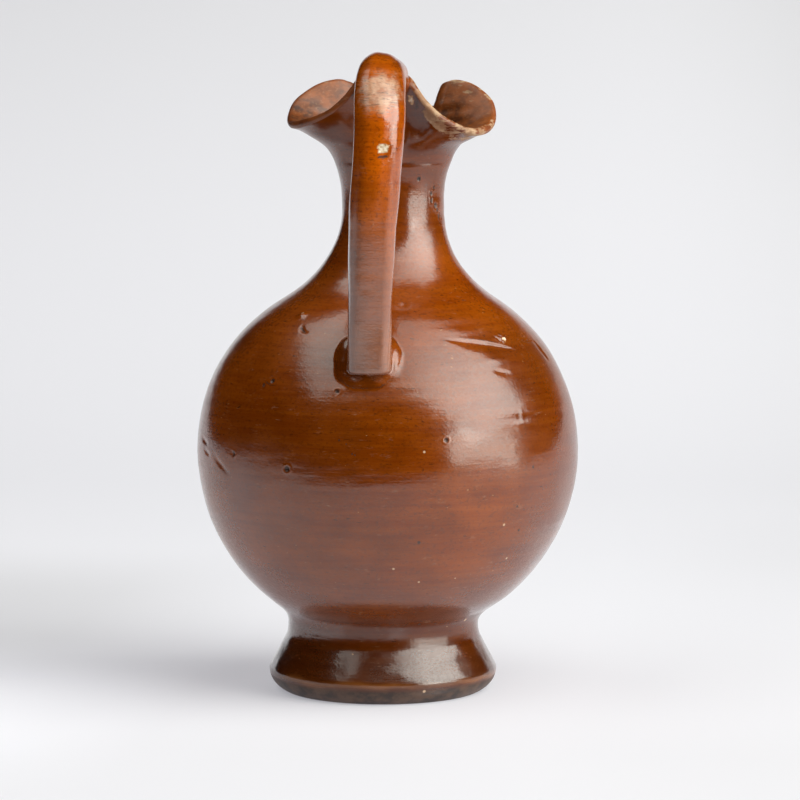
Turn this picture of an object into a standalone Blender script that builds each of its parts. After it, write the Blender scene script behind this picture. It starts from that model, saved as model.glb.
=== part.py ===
"""Trefoil-mouth pottery ewer, glazed, fired in one piece.

A globular body on a low spreading foot carries a waisted neck, a mouth
pinched into two side lobes and a pouring lobe, and one strap handle that
arches from the back of the rim down to a round luted pad on the shoulder.
The pot is hollow and open at the mouth.

Frame: metres, +Z up, origin at the middle of the flat underside.  The handle
is on the -Y side, the pouring lobe on the +Y side, the side lobes at -X, +X.
"""

import math

import bpy
import numpy as np
from mathutils import Vector

for old in list(bpy.data.objects):
    bpy.data.objects.remove(old, do_unlink=True)

MM = 0.001

# ---------------------------------------------------------------- foot (mm)
BASE_RADIUS = 33.8        # flat disc that the ewer stands on
RING_RADIUS = 39.0        # widest line of the foot
RING_HEIGHT = 7.2
CREASE_RADIUS = 33.1      # where the cone of the foot meets the waist
CREASE_HEIGHT = 17.9
WAIST_RADIUS = 32.5       # narrowest line between foot and body
WAIST_HEIGHT = 22.6
SPRING_HEIGHT = 29.6      # where the fillet runs into the body

# ---------------------------------------------------------------- body (mm)
BODY_RADIUS = 64.9
BODY_HEIGHT = 83.0        # height of the widest line
CROWN = 61.2              # half height of the upper half, an ellipse
BOWL = 65.4               # half height of the lower half
SHOULDER_HEIGHT = 133.5   # where the crown turns into the neck

# ---------------------------------------------------------------- neck (mm)
NECK_RADIUS = 17.3
NECK_LOW = 164.0
NECK_TOP = 176.0          # the mouth flares out from here
NECK_TOP_RADIUS = 18.3

# The hand-built pot leans a little: each part stands this far off the foot.
BODY_SHIFT = 1.7
NECK_SHIFT = 3.5

# --------------------------------------------------------------- mouth (mm)
# (angle from the handle in degrees, radius and height of the rim, slope of
# the wall at the rim above level in degrees, reach of the flare)
RIM = (
    (0.0, 28.0, 208.9, 66.0, 12.0),      # under the handle
    (15.0, 28.4, 207.6, 64.0, 12.0),
    (19.5, 28.7, 204.4, 60.0, 12.0),
    (24.0, 29.6, 201.2, 54.0, 11.5),
    (33.5, 31.2, 196.6, 42.0, 10.5),
    (44.0, 32.0, 193.9, 29.0, 10.0),
    (55.0, 33.0, 192.1, 19.0, 9.5),
    (66.0, 33.7, 191.2, 13.0, 9.0),      # lowest line of a side lobe
    (78.0, 34.5, 191.6, 14.0, 9.0),
    (90.0, 34.9, 194.2, 22.0, 9.5),      # outer tip of a side lobe
    (100.0, 34.2, 198.7, 34.0, 10.0),
    (108.5, 31.8, 202.1, 46.0, 11.0),
    (116.0, 29.4, 204.4, 56.0, 12.0),
    (125.0, 26.8, 205.6, 62.0, 12.0),    # highest line, beside the pinch
    (131.0, 25.6, 205.4, 62.0, 12.0),
    (136.5, 25.0, 204.2, 60.0, 12.0),    # pinch
    (142.5, 28.4, 202.4, 54.0, 11.5),
    (151.0, 34.0, 198.8, 40.0, 10.5),
    (163.0, 38.4, 195.8, 28.0, 9.5),
    (180.0, 40.2, 194.6, 22.0, 9.0),     # tip of the pouring lobe
)
DROOP = 2.5               # the lobe at +X hangs lower than the one at -X
DROOP_ANGLE = 52.0
DROOP_SPAN = 30.0
NARROWER = 0.8            # and reaches less far out
NECK_REACH = 9.5          # how far the neck runs on before it flares
NECK_SPREAD = 0.27        # slope of the neck at its top

# ------------------------------------------------------ wall thickness (mm)
LIP = 2.7
NECK_WALL = 3.3
BODY_WALL = 4.0
WELL_RADIUS = 24.5        # the hollow narrows into the foot
WELL_HEIGHT = 26.0
FLOOR_HEIGHT = 9.5        # inner floor

# -------------------------------------------------------------- handle (mm)
# Centre line and section: (distance out from the axis, height, sideways
# offset, width, depth)
HANDLE_PATH = (
    (24.0, 203.2, 4.4, 13.6, 11.6),
    (29.6, 208.0, 4.6, 14.0, 12.0),
    (36.8, 210.6, 4.9, 14.6, 12.0),
    (44.3, 211.0, 5.2, 14.8, 12.0),
    (53.6, 208.9, 5.6, 16.0, 12.0),
    (61.2, 203.1, 6.0, 16.7, 12.0),
    (65.0, 196.5, 6.3, 16.7, 12.0),
    (66.3, 189.0, 6.1, 16.2, 11.8),
    (66.1, 180.0, 5.4, 15.8, 11.5),
    (64.4, 165.0, 4.0, 15.5, 11.0),
    (61.4, 150.0, 3.1, 14.5, 10.6),
    (58.5, 135.0, 2.3, 13.7, 10.3),
    (56.8, 125.0, 2.0, 13.8, 10.2),
    (55.1, 113.6, 1.7, 14.0, 10.2),
)
HANDLE_SQUARE_TOP = 2.4  # how square the strap's section is: an oval above,
HANDLE_SQUARE_LOW = 3.4   # a flat band with rounded corners below
ROOT_ROUND = 6.0          # the upper end is a rounded lump pressed over the rim
END_ROUND = 1.4           # rounding of the blunt lower end
PAD_ACROSS = 10.7         # luted clay around the lower end, half sizes
PAD_ALONG = 10.2
PAD_THICK = 3.2
PAD_HEIGHT = 117.4
PAD_SHIFT = 0.9           # to the right of the foot's centre
PAD_SQUARE = 2.5
PAD_THIN = 0.5            # how much thinner it is smeared out below the strap
BURIED = 2.0              # depth to which the handle and pad sink into the wall

# ------------------------------------------------------- mesh fineness
COLUMNS = 56
PINCH_ANGLE = 138.0


def smooth(t):
    t = min(max(t, 0.0), 1.0)
    return t * t * (3.0 - 2.0 * t)


def lean(z):
    """Sideways offset of the pot's centre at height z (mm)."""
    return (BODY_SHIFT * smooth((z - 22.0) / 12.0)
            + (NECK_SHIFT - BODY_SHIFT) * smooth((z - 118.0) / 50.0))


def bezier(p0, p1, p2, p3, count):
    """Points after p0 up to p3 on a cubic curve."""
    out = []
    for k in range(1, count + 1):
        t = k / count
        s = 1.0 - t
        out.append(tuple(s ** 3 * a + 3 * s * s * t * b + 3 * s * t * t * c + t ** 3 * d
                         for a, b, c, d in zip(p0, p1, p2, p3)))
    return out


def body_radius(z):
    half = BOWL if z < BODY_HEIGHT else CROWN
    q = (z - BODY_HEIGHT) / half
    return BODY_RADIUS * math.sqrt(max(1.0 - q * q, 0.0))


def body_tangent(z):
    """Unit tangent (dr, dz) going up the body's outline."""
    e = 0.05
    dr = body_radius(z + e) - body_radius(z - e)
    n = math.hypot(dr, 2 * e)
    return dr / n, 2 * e / n


def outer_profile():
    """(radius, height) up the outside, from the base edge to the neck's top."""
    pts = [(BASE_RADIUS, 0.0)]
    # rounded base edge
    pts += bezier((BASE_RADIUS, 0.0), (BASE_RADIUS + 2.6, 1.2),
                  (RING_RADIUS, RING_HEIGHT - 3.6), (RING_RADIUS, RING_HEIGHT), 3)
    # spreading foot, nearly a cone, that turns up into the waist at a crease
    pts += bezier((RING_RADIUS, RING_HEIGHT), (RING_RADIUS - 0.1, RING_HEIGHT + 2.0),
                  (CREASE_RADIUS + 1.5, CREASE_HEIGHT - 2.7), (CREASE_RADIUS, CREASE_HEIGHT), 4)
    pts += bezier((CREASE_RADIUS, CREASE_HEIGHT), (CREASE_RADIUS - 0.55, CREASE_HEIGHT + 1.0),
                  (WAIST_RADIUS, WAIST_HEIGHT - 2.0), (WAIST_RADIUS, WAIST_HEIGHT), 2)
    # fillet into the body
    r1 = body_radius(SPRING_HEIGHT)
    tr, tz = body_tangent(SPRING_HEIGHT)
    pts += bezier((WAIST_RADIUS, WAIST_HEIGHT), (WAIST_RADIUS, WAIST_HEIGHT + 3.4),
                  (r1 - 3.0 * tr, SPRING_HEIGHT - 3.0 * tz), (r1, SPRING_HEIGHT), 3)
    # body, lower and upper half
    a0 = math.asin((SPRING_HEIGHT - BODY_HEIGHT) / BOWL)
    a1 = math.asin((SHOULDER_HEIGHT - BODY_HEIGHT) / CROWN)
    for k in range(1, 10):
        a = a0 * (1 - k / 9)
        pts.append((BODY_RADIUS * math.cos(a), BODY_HEIGHT + BOWL * math.sin(a)))
    for k in range(1, 9):
        a = a1 * k / 8
        pts.append((BODY_RADIUS * math.cos(a), BODY_HEIGHT + CROWN * math.sin(a)))
    # shoulder sweeping up into the neck
    r2 = body_radius(SHOULDER_HEIGHT)
    tr, tz = body_tangent(SHOULDER_HEIGHT)
    pts += bezier((r2, SHOULDER_HEIGHT), (r2 + 12.5 * tr, SHOULDER_HEIGHT + 12.5 * tz),
                  (NECK_RADIUS, NECK_LOW - 15.0), (NECK_RADIUS, NECK_LOW), 7)
    pts += bezier((NECK_RADIUS, NECK_LOW), (NECK_RADIUS, NECK_LOW + 4.0),
                  (NECK_TOP_RADIUS - NECK_SPREAD * 4.0, NECK_TOP - 4.0),
                  (NECK_TOP_RADIUS, NECK_TOP), 2)
    return pts


def rim_at(angle):
    """Rim values at an angle from the handle, smooth through the RIM stations."""
    a = abs(angle)
    rows = [(-RIM[1][0],) + RIM[1][1:]] + list(RIM) + [(360.0 - RIM[-2][0],) + RIM[-2][1:]]
    for i in range(1, len(rows) - 2):
        if a <= rows[i + 1][0] + 1e-9:
            break
    x0, x1 = rows[i][0], rows[i + 1][0]
    t = (a - x0) / (x1 - x0)
    out = []
    for c in range(1, 5):
        y0, y1 = rows[i][c], rows[i + 1][c]
        m0 = (y1 - rows[i - 1][c]) / (x1 - rows[i - 1][0]) * (x1 - x0)
        m1 = (rows[i + 2][c] - y0) / (rows[i + 2][0] - x0) * (x1 - x0)
        out.append((2 * t ** 3 - 3 * t * t + 1) * y0 + (t ** 3 - 2 * t * t + t) * m0
                   + (-2 * t ** 3 + 3 * t * t) * y1 + (t ** 3 - t * t) * m1)
    if angle > 0.0:
        hang = math.exp(-((angle - DROOP_ANGLE) / DROOP_SPAN) ** 2)
        out[0] -= NARROWER * math.exp(-((angle - 95.0) / 35.0) ** 2)
        out[1] -= DROOP * hang
        out[2] -= 9.0 * hang
    return out


def columns():
    """Angles from the handle in degrees, closer together at the pinches."""
    fine = np.linspace(-180.0, 180.0, 3601)
    density = 1.0 + 1.6 * np.exp(-((np.abs(fine) - PINCH_ANGLE) / 16.0) ** 2)
    total = np.concatenate([[0.0], np.cumsum((density[1:] + density[:-1]) / 2)])
    total /= total[-1]
    return np.interp(np.arange(COLUMNS) / COLUMNS, total, fine)


def outer_grid():
    """Rows of points (mm) from the base edge to the rim's outer edge."""
    prof = outer_profile()
    angles = columns()
    rows = [[(r, z) for _ in angles] for r, z in prof]
    steps = 9
    for k in range(1, steps + 1):
        row = []
        for a in angles:
            radius, height, slope, reach = rim_at(a)
            s = math.radians(slope)
            row.append(bezier((NECK_TOP_RADIUS, NECK_TOP),
                              (NECK_TOP_RADIUS + NECK_SPREAD * NECK_REACH, NECK_TOP + NECK_REACH),
                              (radius - reach * math.cos(s), height - reach * math.sin(s)),
                              (radius, height), steps)[k - 1])
        rows.append(row)
    grid = np.zeros((len(rows), len(angles), 3))
    for i, row in enumerate(rows):
        for j, (r, z) in enumerate(row):
            t = math.radians(angles[j])
            grid[i, j] = (lean(z) + r * math.sin(t), -r * math.cos(t), z)
    return grid, len(prof)


def grid_normals(grid):
    """Outward unit normals of a grid whose columns close in a ring."""
    du = np.roll(grid, -1, axis=1) - np.roll(grid, 1, axis=1)
    dv = np.gradient(grid, axis=0)
    n = np.cross(du, dv)
    return n / np.linalg.norm(n, axis=2, keepdims=True), dv


def vessel_rows():
    """Closed stack of rings: outside, rounded lip, inside, inner floor."""
    grid, split = outer_grid()
    normal, along = grid_normals(grid)
    count = grid.shape[0]
    rows = [grid[i] for i in range(count)]
    # half-round lip
    tip = grid[-1]
    up = along[-1] / np.linalg.norm(along[-1], axis=1, keepdims=True)
    for k in (1, 2, 3):
        b = math.pi * k / 4
        rows.append(tip - normal[-1] * (LIP / 2) * (1 - math.cos(b)) + up * (LIP / 2) * math.sin(b))
    # inside of mouth, neck and body: the outside set in by the wall
    z = grid[:, :, 2].mean(axis=1)
    stop = int(np.argmax(z > 52.0))
    for i in range(count - 1, stop - 1, -1):
        if i < split:
            thick = NECK_WALL + (BODY_WALL - NECK_WALL) * smooth((164.0 - z[i]) / 40.0)
        else:
            thick = LIP + (NECK_WALL - LIP) * smooth((count - 1 - i) / (count - split))
        if (count - 1 - i) % 2 == 1 and i > stop:
            continue
        rows.append(grid[i] - normal[i] * thick)
    # the hollow narrows into a well inside the foot, with a rounded floor
    last = rows[-1]
    z0 = float(last[:, 2].mean())
    r0 = float(np.hypot(last[:, 0] - lean(z0), last[:, 1]).mean())
    tr, tz = body_tangent(z0)
    curve = bezier((r0, z0), (r0 - 17.0 * tr, z0 - 17.0 * tz),
                   (WELL_RADIUS + 5.0, WELL_HEIGHT + 5.0), (WELL_RADIUS, WELL_HEIGHT), 5)
    curve += bezier((WELL_RADIUS, WELL_HEIGHT), (WELL_RADIUS - 6.0, WELL_HEIGHT - 6.0),
                    (WELL_RADIUS - 7.0, FLOOR_HEIGHT), (9.0, FLOOR_HEIGHT), 4)
    angles = np.radians(columns())
    for r, zz in curve:
        rows.append(np.stack([lean(zz) + r * np.sin(angles), -r * np.cos(angles),
                              np.full(len(angles), zz)], axis=1))
    return rows


def mesh_object(name, verts, faces):
    mesh = bpy.data.meshes.new(name)
    mesh.from_pydata([tuple(c * MM for c in v) for v in verts], [], faces)
    mesh.update()
    mesh.shade_smooth()
    ob = bpy.data.objects.new(name, mesh)
    bpy.context.collection.objects.link(ob)
    return ob


def rings_to_mesh(rings, start, end):
    """Skin a stack of rings, with a fan to a centre point at each end."""
    n = len(rings[0])
    verts = [start]
    for ring in rings:
        verts.extend(tuple(float(c) for c in p) for p in ring)
    verts.append(end)
    faces = []
    for j in range(n):
        faces.append((0, 1 + (j + 1) % n, 1 + j))
    for i in range(len(rings) - 1):
        a, b = 1 + i * n, 1 + (i + 1) * n
        for j in range(n):
            k = (j + 1) % n
            faces.append((a + j, a + k, b + k, b + j))
    last = 1 + (len(rings) - 1) * n
    for j in range(n):
        faces.append((last + j, last + (j + 1) % n, len(verts) - 1))
    return verts, faces


def spline(points, count, end=()):
    """Smooth curve through points, evenly spaced, with unit tangents.  The
    last rings stand at the distances `end` from its lower end."""
    pts = np.array(points, float)
    pts = np.vstack([2 * pts[0] - pts[1], pts, 2 * pts[-1] - pts[-2]])
    fine = []
    for i in range(1, len(pts) - 2):
        for t in np.linspace(0.0, 1.0, 40, endpoint=False):
            fine.append(0.5 * ((2 * pts[i]) + (pts[i + 1] - pts[i - 1]) * t
                        + (2 * pts[i - 1] - 5 * pts[i] + 4 * pts[i + 1] - pts[i + 2]) * t * t
                        + (3 * pts[i] - pts[i - 1] - 3 * pts[i + 1] + pts[i + 2]) * t ** 3))
    fine.append(pts[-2])
    fine = np.array(fine)
    length = np.concatenate([[0.0], np.cumsum(np.linalg.norm(np.diff(fine[:, :2], axis=0),
                                                             axis=1))])
    at = np.linspace(0.0, length[-1] - max(end, default=0.0), count - len(end) + 1)
    if end:
        at = np.concatenate([at, [length[-1] - e for e in end[1:]]])
    out = np.stack([np.interp(at, length, fine[:, c]) for c in range(fine.shape[1])], axis=1)
    tan = np.gradient(out[:, :2], at, axis=0)
    return out, tan / np.linalg.norm(tan, axis=1, keepdims=True), at


def sink(x, y, z, deep):
    """Keep a point of the shoulder joint at most `deep` inside the body."""
    if z > SHOULDER_HEIGHT:
        return x, y, z
    cx = lean(z)
    rho = math.hypot(x - cx, y)
    tr, tz = body_tangent(z)
    least = body_radius(z) - deep / tz
    if rho >= least:
        return x, y, z
    k = least / rho
    return cx + (x - cx) * k, y * k, z


def handle_mesh():
    """Flattened rod swept along the handle's centre line."""
    path, tangent, at = spline(HANDLE_PATH, 32, end=(1.4, 0.8, 0.3, 0.0))
    sides = 16
    rings = []
    for (d, z, x, width, depth), (td, tz), run in zip(path, tangent, at):
        if run < ROOT_ROUND:
            dome = math.sqrt(1.0 - (1.0 - (run + 0.6) / (ROOT_ROUND + 0.6)) ** 2)
            width, depth = width * dome, depth * dome
        rest = at[-1] - run
        if rest < END_ROUND:
            cut = 2.0 * END_ROUND * (1.0 - math.sqrt(1.0 - (1.0 - rest / END_ROUND) ** 2))
            width, depth = width - cut, depth - cut
        square = HANDLE_SQUARE_TOP + (HANDLE_SQUARE_LOW - HANDLE_SQUARE_TOP) * smooth(
            (run / at[-1] - 0.35) / 0.3)
        ring = []
        for k in range(sides):
            a = 2 * math.pi * k / sides
            c, s = math.cos(a), math.sin(a)
            # squared oval
            e = 2.0 / square
            u = math.copysign(abs(c) ** e, c) * width / 2
            v = math.copysign(abs(s) ** e, s) * depth / 2
            # v runs across the strap, outward from the loop
            ring.append(sink(x + u, -(d - tz * v), z + td * v, BURIED))
        rings.append(ring)
    first = (path[0][2], -(path[0][0] - tangent[0][0] * 0.5),
             path[0][1] - tangent[0][1] * 0.5)
    final = tuple(sum(p[c] for p in rings[-1]) / sides for c in range(3))
    return rings_to_mesh(rings, first, final)


def pad_mesh():
    """Round flattened lump of clay lying on the shoulder."""
    z = PAD_HEIGHT
    r = body_radius(z)
    tr, tz = body_tangent(z)
    nr, nz = tz, -tr
    rings = []
    sides, levels = 24, 6
    for i in range(1, levels):
        p = math.pi * i / levels - math.pi / 2
        flat = math.cos(p) ** 0.5
        rings.append([])
        for k in range(sides):
            a = 2 * math.pi * k / sides
            c, s = math.cos(a), math.sin(a)
            e = 2.0 / PAD_SQUARE
            u = PAD_ACROSS * flat * math.copysign(abs(c) ** e, c)
            v = PAD_ALONG * flat * math.copysign(abs(s) ** e, s)
            thin = 1.0 - PAD_THIN * smooth((-v / PAD_ALONG - 0.1) / 0.45)
            w = PAD_THICK * thin * math.sin(p) - 0.4 - (u * u + v * v) / 150.0
            rings[-1].append(sink(PAD_SHIFT + u, -(r + nr * w + tr * v), z + nz * w + tz * v,
                                  BURIED + 0.4))
    low = sink(PAD_SHIFT, -(r - nr * PAD_THICK), z - nz * PAD_THICK, BURIED + 0.6)
    top = (PAD_SHIFT, -(r + nr * (PAD_THICK - 0.4)), z + nz * (PAD_THICK - 0.4))
    return rings_to_mesh(rings, low, top)


def outward(ob):
    """Turn the faces so that they point out of the solid."""
    me = ob.data
    volume = 0.0
    for poly in me.polygons:
        vs = [me.vertices[i].co for i in poly.vertices]
        for k in range(1, len(vs) - 1):
            volume += vs[0].dot(vs[k].cross(vs[k + 1]))
    if volume < 0:
        me.flip_normals()


# ------------------------------------------------------------------- build
rows = vessel_rows()
verts, faces = rings_to_mesh(rows, (0.0, 0.0, 0.0),
                             (lean(FLOOR_HEIGHT), 0.0, FLOOR_HEIGHT))
ewer = mesh_object("ewer", verts, faces)
outward(ewer)

for name, (v, f) in (("handle_form", handle_mesh()), ("pad_form", pad_mesh())):
    form = mesh_object(name, v, f)
    outward(form)
    form.hide_render = True
    form.display_type = 'WIRE'
    join = ewer.modifiers.new("join_" + name, 'BOOLEAN')
    join.operation = 'UNION'
    join.solver = 'EXACT'
    join.object = form

glaze = bpy.data.materials.new("amber_glaze")
glaze.use_nodes = True
shader = glaze.node_tree.nodes["Principled BSDF"]
shader.inputs["Base Color"].default_value = (0.27, 0.075, 0.012, 1.0)
shader.inputs["Roughness"].default_value = 0.22
shader.inputs["Metallic"].default_value = 0.0
shader.inputs["Coat Weight"].default_value = 0.4
ewer.data.materials.append(glaze)
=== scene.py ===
"""The look of the glazed trefoil-mouth ewer: fine surface, glaze and studio.

The pot's outline repeats the construction's named sizes (millimetres) and adds
what the wheel, the potter's fingers, the kiln and age left on the surface.
"""
import math

import bmesh
import bpy
import numpy as np
from mathutils import Matrix, Vector, noise
from mathutils.bvhtree import BVHTree


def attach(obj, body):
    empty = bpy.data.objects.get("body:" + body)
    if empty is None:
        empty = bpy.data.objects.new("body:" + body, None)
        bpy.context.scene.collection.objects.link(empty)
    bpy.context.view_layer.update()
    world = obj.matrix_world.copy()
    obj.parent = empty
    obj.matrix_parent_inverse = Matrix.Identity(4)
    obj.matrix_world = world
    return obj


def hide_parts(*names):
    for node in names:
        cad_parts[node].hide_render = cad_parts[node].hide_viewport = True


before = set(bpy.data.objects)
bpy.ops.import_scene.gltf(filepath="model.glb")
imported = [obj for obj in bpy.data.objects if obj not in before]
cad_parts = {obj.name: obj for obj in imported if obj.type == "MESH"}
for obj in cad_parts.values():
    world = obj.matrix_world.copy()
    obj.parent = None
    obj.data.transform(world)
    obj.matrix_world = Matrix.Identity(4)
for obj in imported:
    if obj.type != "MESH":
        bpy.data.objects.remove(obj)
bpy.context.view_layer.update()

MM = 0.001

# ------------------------------------------------------------ pot's sizes (mm)
BASE_RADIUS = 33.8
RING_RADIUS = 38.9
RING_HEIGHT = 7.2
CREASE_RADIUS = 33.35
CREASE_HEIGHT = 17.9
WAIST_RADIUS = 32.5
WAIST_HEIGHT = 22.6
SPRING_HEIGHT = 29.6

BODY_RADIUS = 64.9
BODY_HEIGHT = 83.0
CROWN = 61.2
BOWL = 65.4
SHOULDER_HEIGHT = 133.5

NECK_RADIUS = 17.3
NECK_LOW = 164.0
NECK_TOP = 176.0
NECK_TOP_RADIUS = 18.3
BODY_SHIFT = 1.7
NECK_SHIFT = 3.5

# (angle from the handle, radius, height, slope of the wall, reach of the flare)
RIM = (
    (0.0, 28.0, 208.9, 66.0, 12.0),
    (15.0, 28.4, 207.6, 64.0, 12.0),
    (19.5, 28.7, 204.4, 60.0, 12.0),
    (24.0, 29.6, 201.2, 54.0, 11.5),
    (33.5, 31.2, 196.6, 42.0, 10.5),
    (44.0, 32.0, 193.9, 29.0, 10.0),
    (55.0, 33.0, 192.1, 19.0, 9.5),
    (66.0, 33.7, 191.2, 13.0, 9.0),
    (78.0, 34.5, 191.6, 14.0, 9.0),
    (90.0, 34.9, 194.2, 22.0, 9.5),
    (100.0, 34.2, 198.7, 34.0, 10.0),
    (108.5, 31.8, 202.1, 46.0, 11.0),
    (116.0, 29.4, 204.4, 56.0, 12.0),
    (125.0, 26.8, 205.6, 62.0, 12.0),
    (131.0, 25.6, 205.4, 62.0, 12.0),
    (136.5, 25.0, 204.2, 60.0, 12.0),
    (142.5, 28.4, 202.4, 54.0, 11.5),
    (151.0, 34.0, 198.8, 40.0, 10.5),
    (163.0, 38.4, 195.8, 28.0, 9.5),
    (180.0, 40.2, 194.6, 22.0, 9.0),
)
DROOP = 2.5
DROOP_ANGLE = 52.0
DROOP_SPAN = 30.0
NARROWER = 0.8
NECK_REACH = 9.5
NECK_SPREAD = 0.27

LIP = 2.7
NECK_WALL = 3.3
BODY_WALL = 4.0
WELL_RADIUS = 24.5
WELL_HEIGHT = 26.0
FLOOR_HEIGHT = 9.5

# (distance out from the axis, height, sideways offset, width, depth)
HANDLE_PATH = (
    (24.0, 203.2, 4.4, 13.6, 11.6),
    (29.6, 208.0, 4.6, 14.0, 12.0),
    (36.8, 210.6, 4.9, 14.6, 12.0),
    (44.3, 211.0, 5.2, 14.8, 12.0),
    (53.6, 208.9, 5.6, 16.0, 12.0),
    (61.2, 203.1, 6.0, 16.7, 12.0),
    (65.0, 196.5, 6.3, 16.7, 12.0),
    (66.3, 189.0, 6.1, 16.2, 11.8),
    (66.1, 180.0, 5.4, 15.8, 11.5),
    (64.4, 165.0, 4.0, 15.5, 11.0),
    (61.4, 150.0, 3.1, 14.5, 10.6),
    (58.5, 135.0, 2.3, 13.7, 10.3),
    (56.8, 125.0, 2.0, 13.8, 10.2),
    (55.1, 113.6, 1.7, 14.0, 10.2),
)
HANDLE_SQUARE_TOP = 2.05
HANDLE_SQUARE_LOW = 3.3
ROOT_ROUND = 6.0
END_ROUND = 1.4
PAD_ACROSS = 10.7
PAD_ALONG = 10.2
PAD_THICK = 3.2
PAD_HEIGHT = 117.4
PAD_SHIFT = 0.9
PAD_SQUARE = 2.5
PAD_THIN = 0.5
BURIED = 2.0

# ------------------------------------------------------------- mesh fineness
COLUMNS = 224            # round the outside; half as many inside and below
PINCH_ANGLE = 138.0
HANDLE_SIDES = 44
HANDLE_STEP = 0.72


# ------------------------------------------------------------------- helpers
def smooth(t):
    t = np.clip(t, 0.0, 1.0)
    return t * t * (3.0 - 2.0 * t)


def bump(x, centre, half):
    """Round hump of height 1, zero beyond `half` from the centre."""
    t = np.clip(np.abs((x - centre) / half), 0.0, 1.0)
    return (1.0 - t * t) ** 2


def lean(z):
    return (BODY_SHIFT * smooth((z - 22.0) / 12.0)
            + (NECK_SHIFT - BODY_SHIFT) * smooth((z - 118.0) / 50.0))


def bezier(p0, p1, p2, p3, count):
    t = (np.arange(1, count + 1) / count)[:, None]
    p0, p1, p2, p3 = (np.array(p, float) for p in (p0, p1, p2, p3))
    s = 1.0 - t
    return s ** 3 * p0 + 3 * s * s * t * p1 + 3 * s * t * t * p2 + t ** 3 * p3


def body_radius(z):
    half = np.where(z < BODY_HEIGHT, BOWL, CROWN)
    q = (z - BODY_HEIGHT) / half
    return BODY_RADIUS * np.sqrt(np.maximum(1.0 - q * q, 0.0))


def body_tangent(z):
    e = 0.05
    dr = float(body_radius(z + e) - body_radius(z - e))
    n = math.hypot(dr, 2 * e)
    return dr / n, 2 * e / n


def fbm(points, scale, octaves=3, seed=0.0):
    """Smooth noise, about -1 to 1, at points in millimetres."""
    out = np.empty(len(points))
    for i, p in enumerate(points):
        out[i] = noise.fractal(Vector((p[0] * scale + seed, p[1] * scale - seed, p[2] * scale + 7.3 * seed)),
                               0.9, 2.1, octaves)
    return out


class Waves:
    """A smooth random function of 1 to 3 coordinates made of a few sines."""

    def __init__(self, seed, shortest, longest, count=14, dims=3, squash=None):
        rng = np.random.RandomState(seed)
        d = rng.normal(size=(count, dims))
        if squash is not None:
            d = d * np.array(squash)
        d /= np.linalg.norm(d, axis=1, keepdims=True)
        wave = np.exp(rng.uniform(math.log(shortest), math.log(longest), count))
        self.k = d * (2 * math.pi / wave)[:, None]
        self.phase = rng.uniform(0, 2 * math.pi, count)
        self.amp = 1.0 / math.sqrt(count / 2.0)

    def __call__(self, points):
        return self.amp * np.sin(points @ self.k.T + self.phase).sum(axis=1)


# ----------------------------------------------------------- outside surface
def outer_profile():
    """Fine (radius, height) line up the outside, base edge to neck's top."""
    parts = [np.array([[BASE_RADIUS, 0.0]])]
    parts.append(bezier((BASE_RADIUS, 0.0), (BASE_RADIUS + 2.6, 1.2),
                        (RING_RADIUS, RING_HEIGHT - 3.6), (RING_RADIUS, RING_HEIGHT), 40))
    parts.append(bezier((RING_RADIUS, RING_HEIGHT), (RING_RADIUS - 0.05, RING_HEIGHT + 1.0),
                        (CREASE_RADIUS + 3.3, CREASE_HEIGHT - 6.2), (CREASE_RADIUS, CREASE_HEIGHT), 40))
    parts.append(bezier((CREASE_RADIUS, CREASE_HEIGHT), (CREASE_RADIUS - 0.55, CREASE_HEIGHT + 1.0),
                        (WAIST_RADIUS, WAIST_HEIGHT - 2.0), (WAIST_RADIUS, WAIST_HEIGHT), 20))
    r1 = float(body_radius(SPRING_HEIGHT))
    tr, tz = body_tangent(SPRING_HEIGHT)
    parts.append(bezier((WAIST_RADIUS, WAIST_HEIGHT), (WAIST_RADIUS, WAIST_HEIGHT + 3.4),
                        (r1 - 3.0 * tr, SPRING_HEIGHT - 3.0 * tz), (r1, SPRING_HEIGHT), 40))
    a0 = math.asin((SPRING_HEIGHT - BODY_HEIGHT) / BOWL)
    a1 = math.asin((SHOULDER_HEIGHT - BODY_HEIGHT) / CROWN)
    a = a0 * (1 - np.arange(1, 161) / 160)
    parts.append(np.stack([BODY_RADIUS * np.cos(a), BODY_HEIGHT + BOWL * np.sin(a)], axis=1))
    a = a1 * np.arange(1, 161) / 160
    parts.append(np.stack([BODY_RADIUS * np.cos(a), BODY_HEIGHT + CROWN * np.sin(a)], axis=1))
    r2 = float(body_radius(SHOULDER_HEIGHT))
    tr, tz = body_tangent(SHOULDER_HEIGHT)
    parts.append(bezier((r2, SHOULDER_HEIGHT), (r2 + 12.5 * tr, SHOULDER_HEIGHT + 12.5 * tz),
                        (NECK_RADIUS, NECK_LOW - 15.0), (NECK_RADIUS, NECK_LOW), 100))
    parts.append(bezier((NECK_RADIUS, NECK_LOW), (NECK_RADIUS, NECK_LOW + 4.0),
                        (NECK_TOP_RADIUS - NECK_SPREAD * 4.0, NECK_TOP - 4.0),
                        (NECK_TOP_RADIUS, NECK_TOP), 30))
    return np.vstack(parts)


PROFILE = outer_profile()
RUN = np.concatenate([[0.0], np.cumsum(np.hypot(*np.diff(PROFILE, axis=0).T))])
PROFILE_END = RUN[-1]


def run_at(z):
    """Distance along the outside line at height z."""
    return float(np.interp(z, PROFILE[:, 1], RUN))


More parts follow.
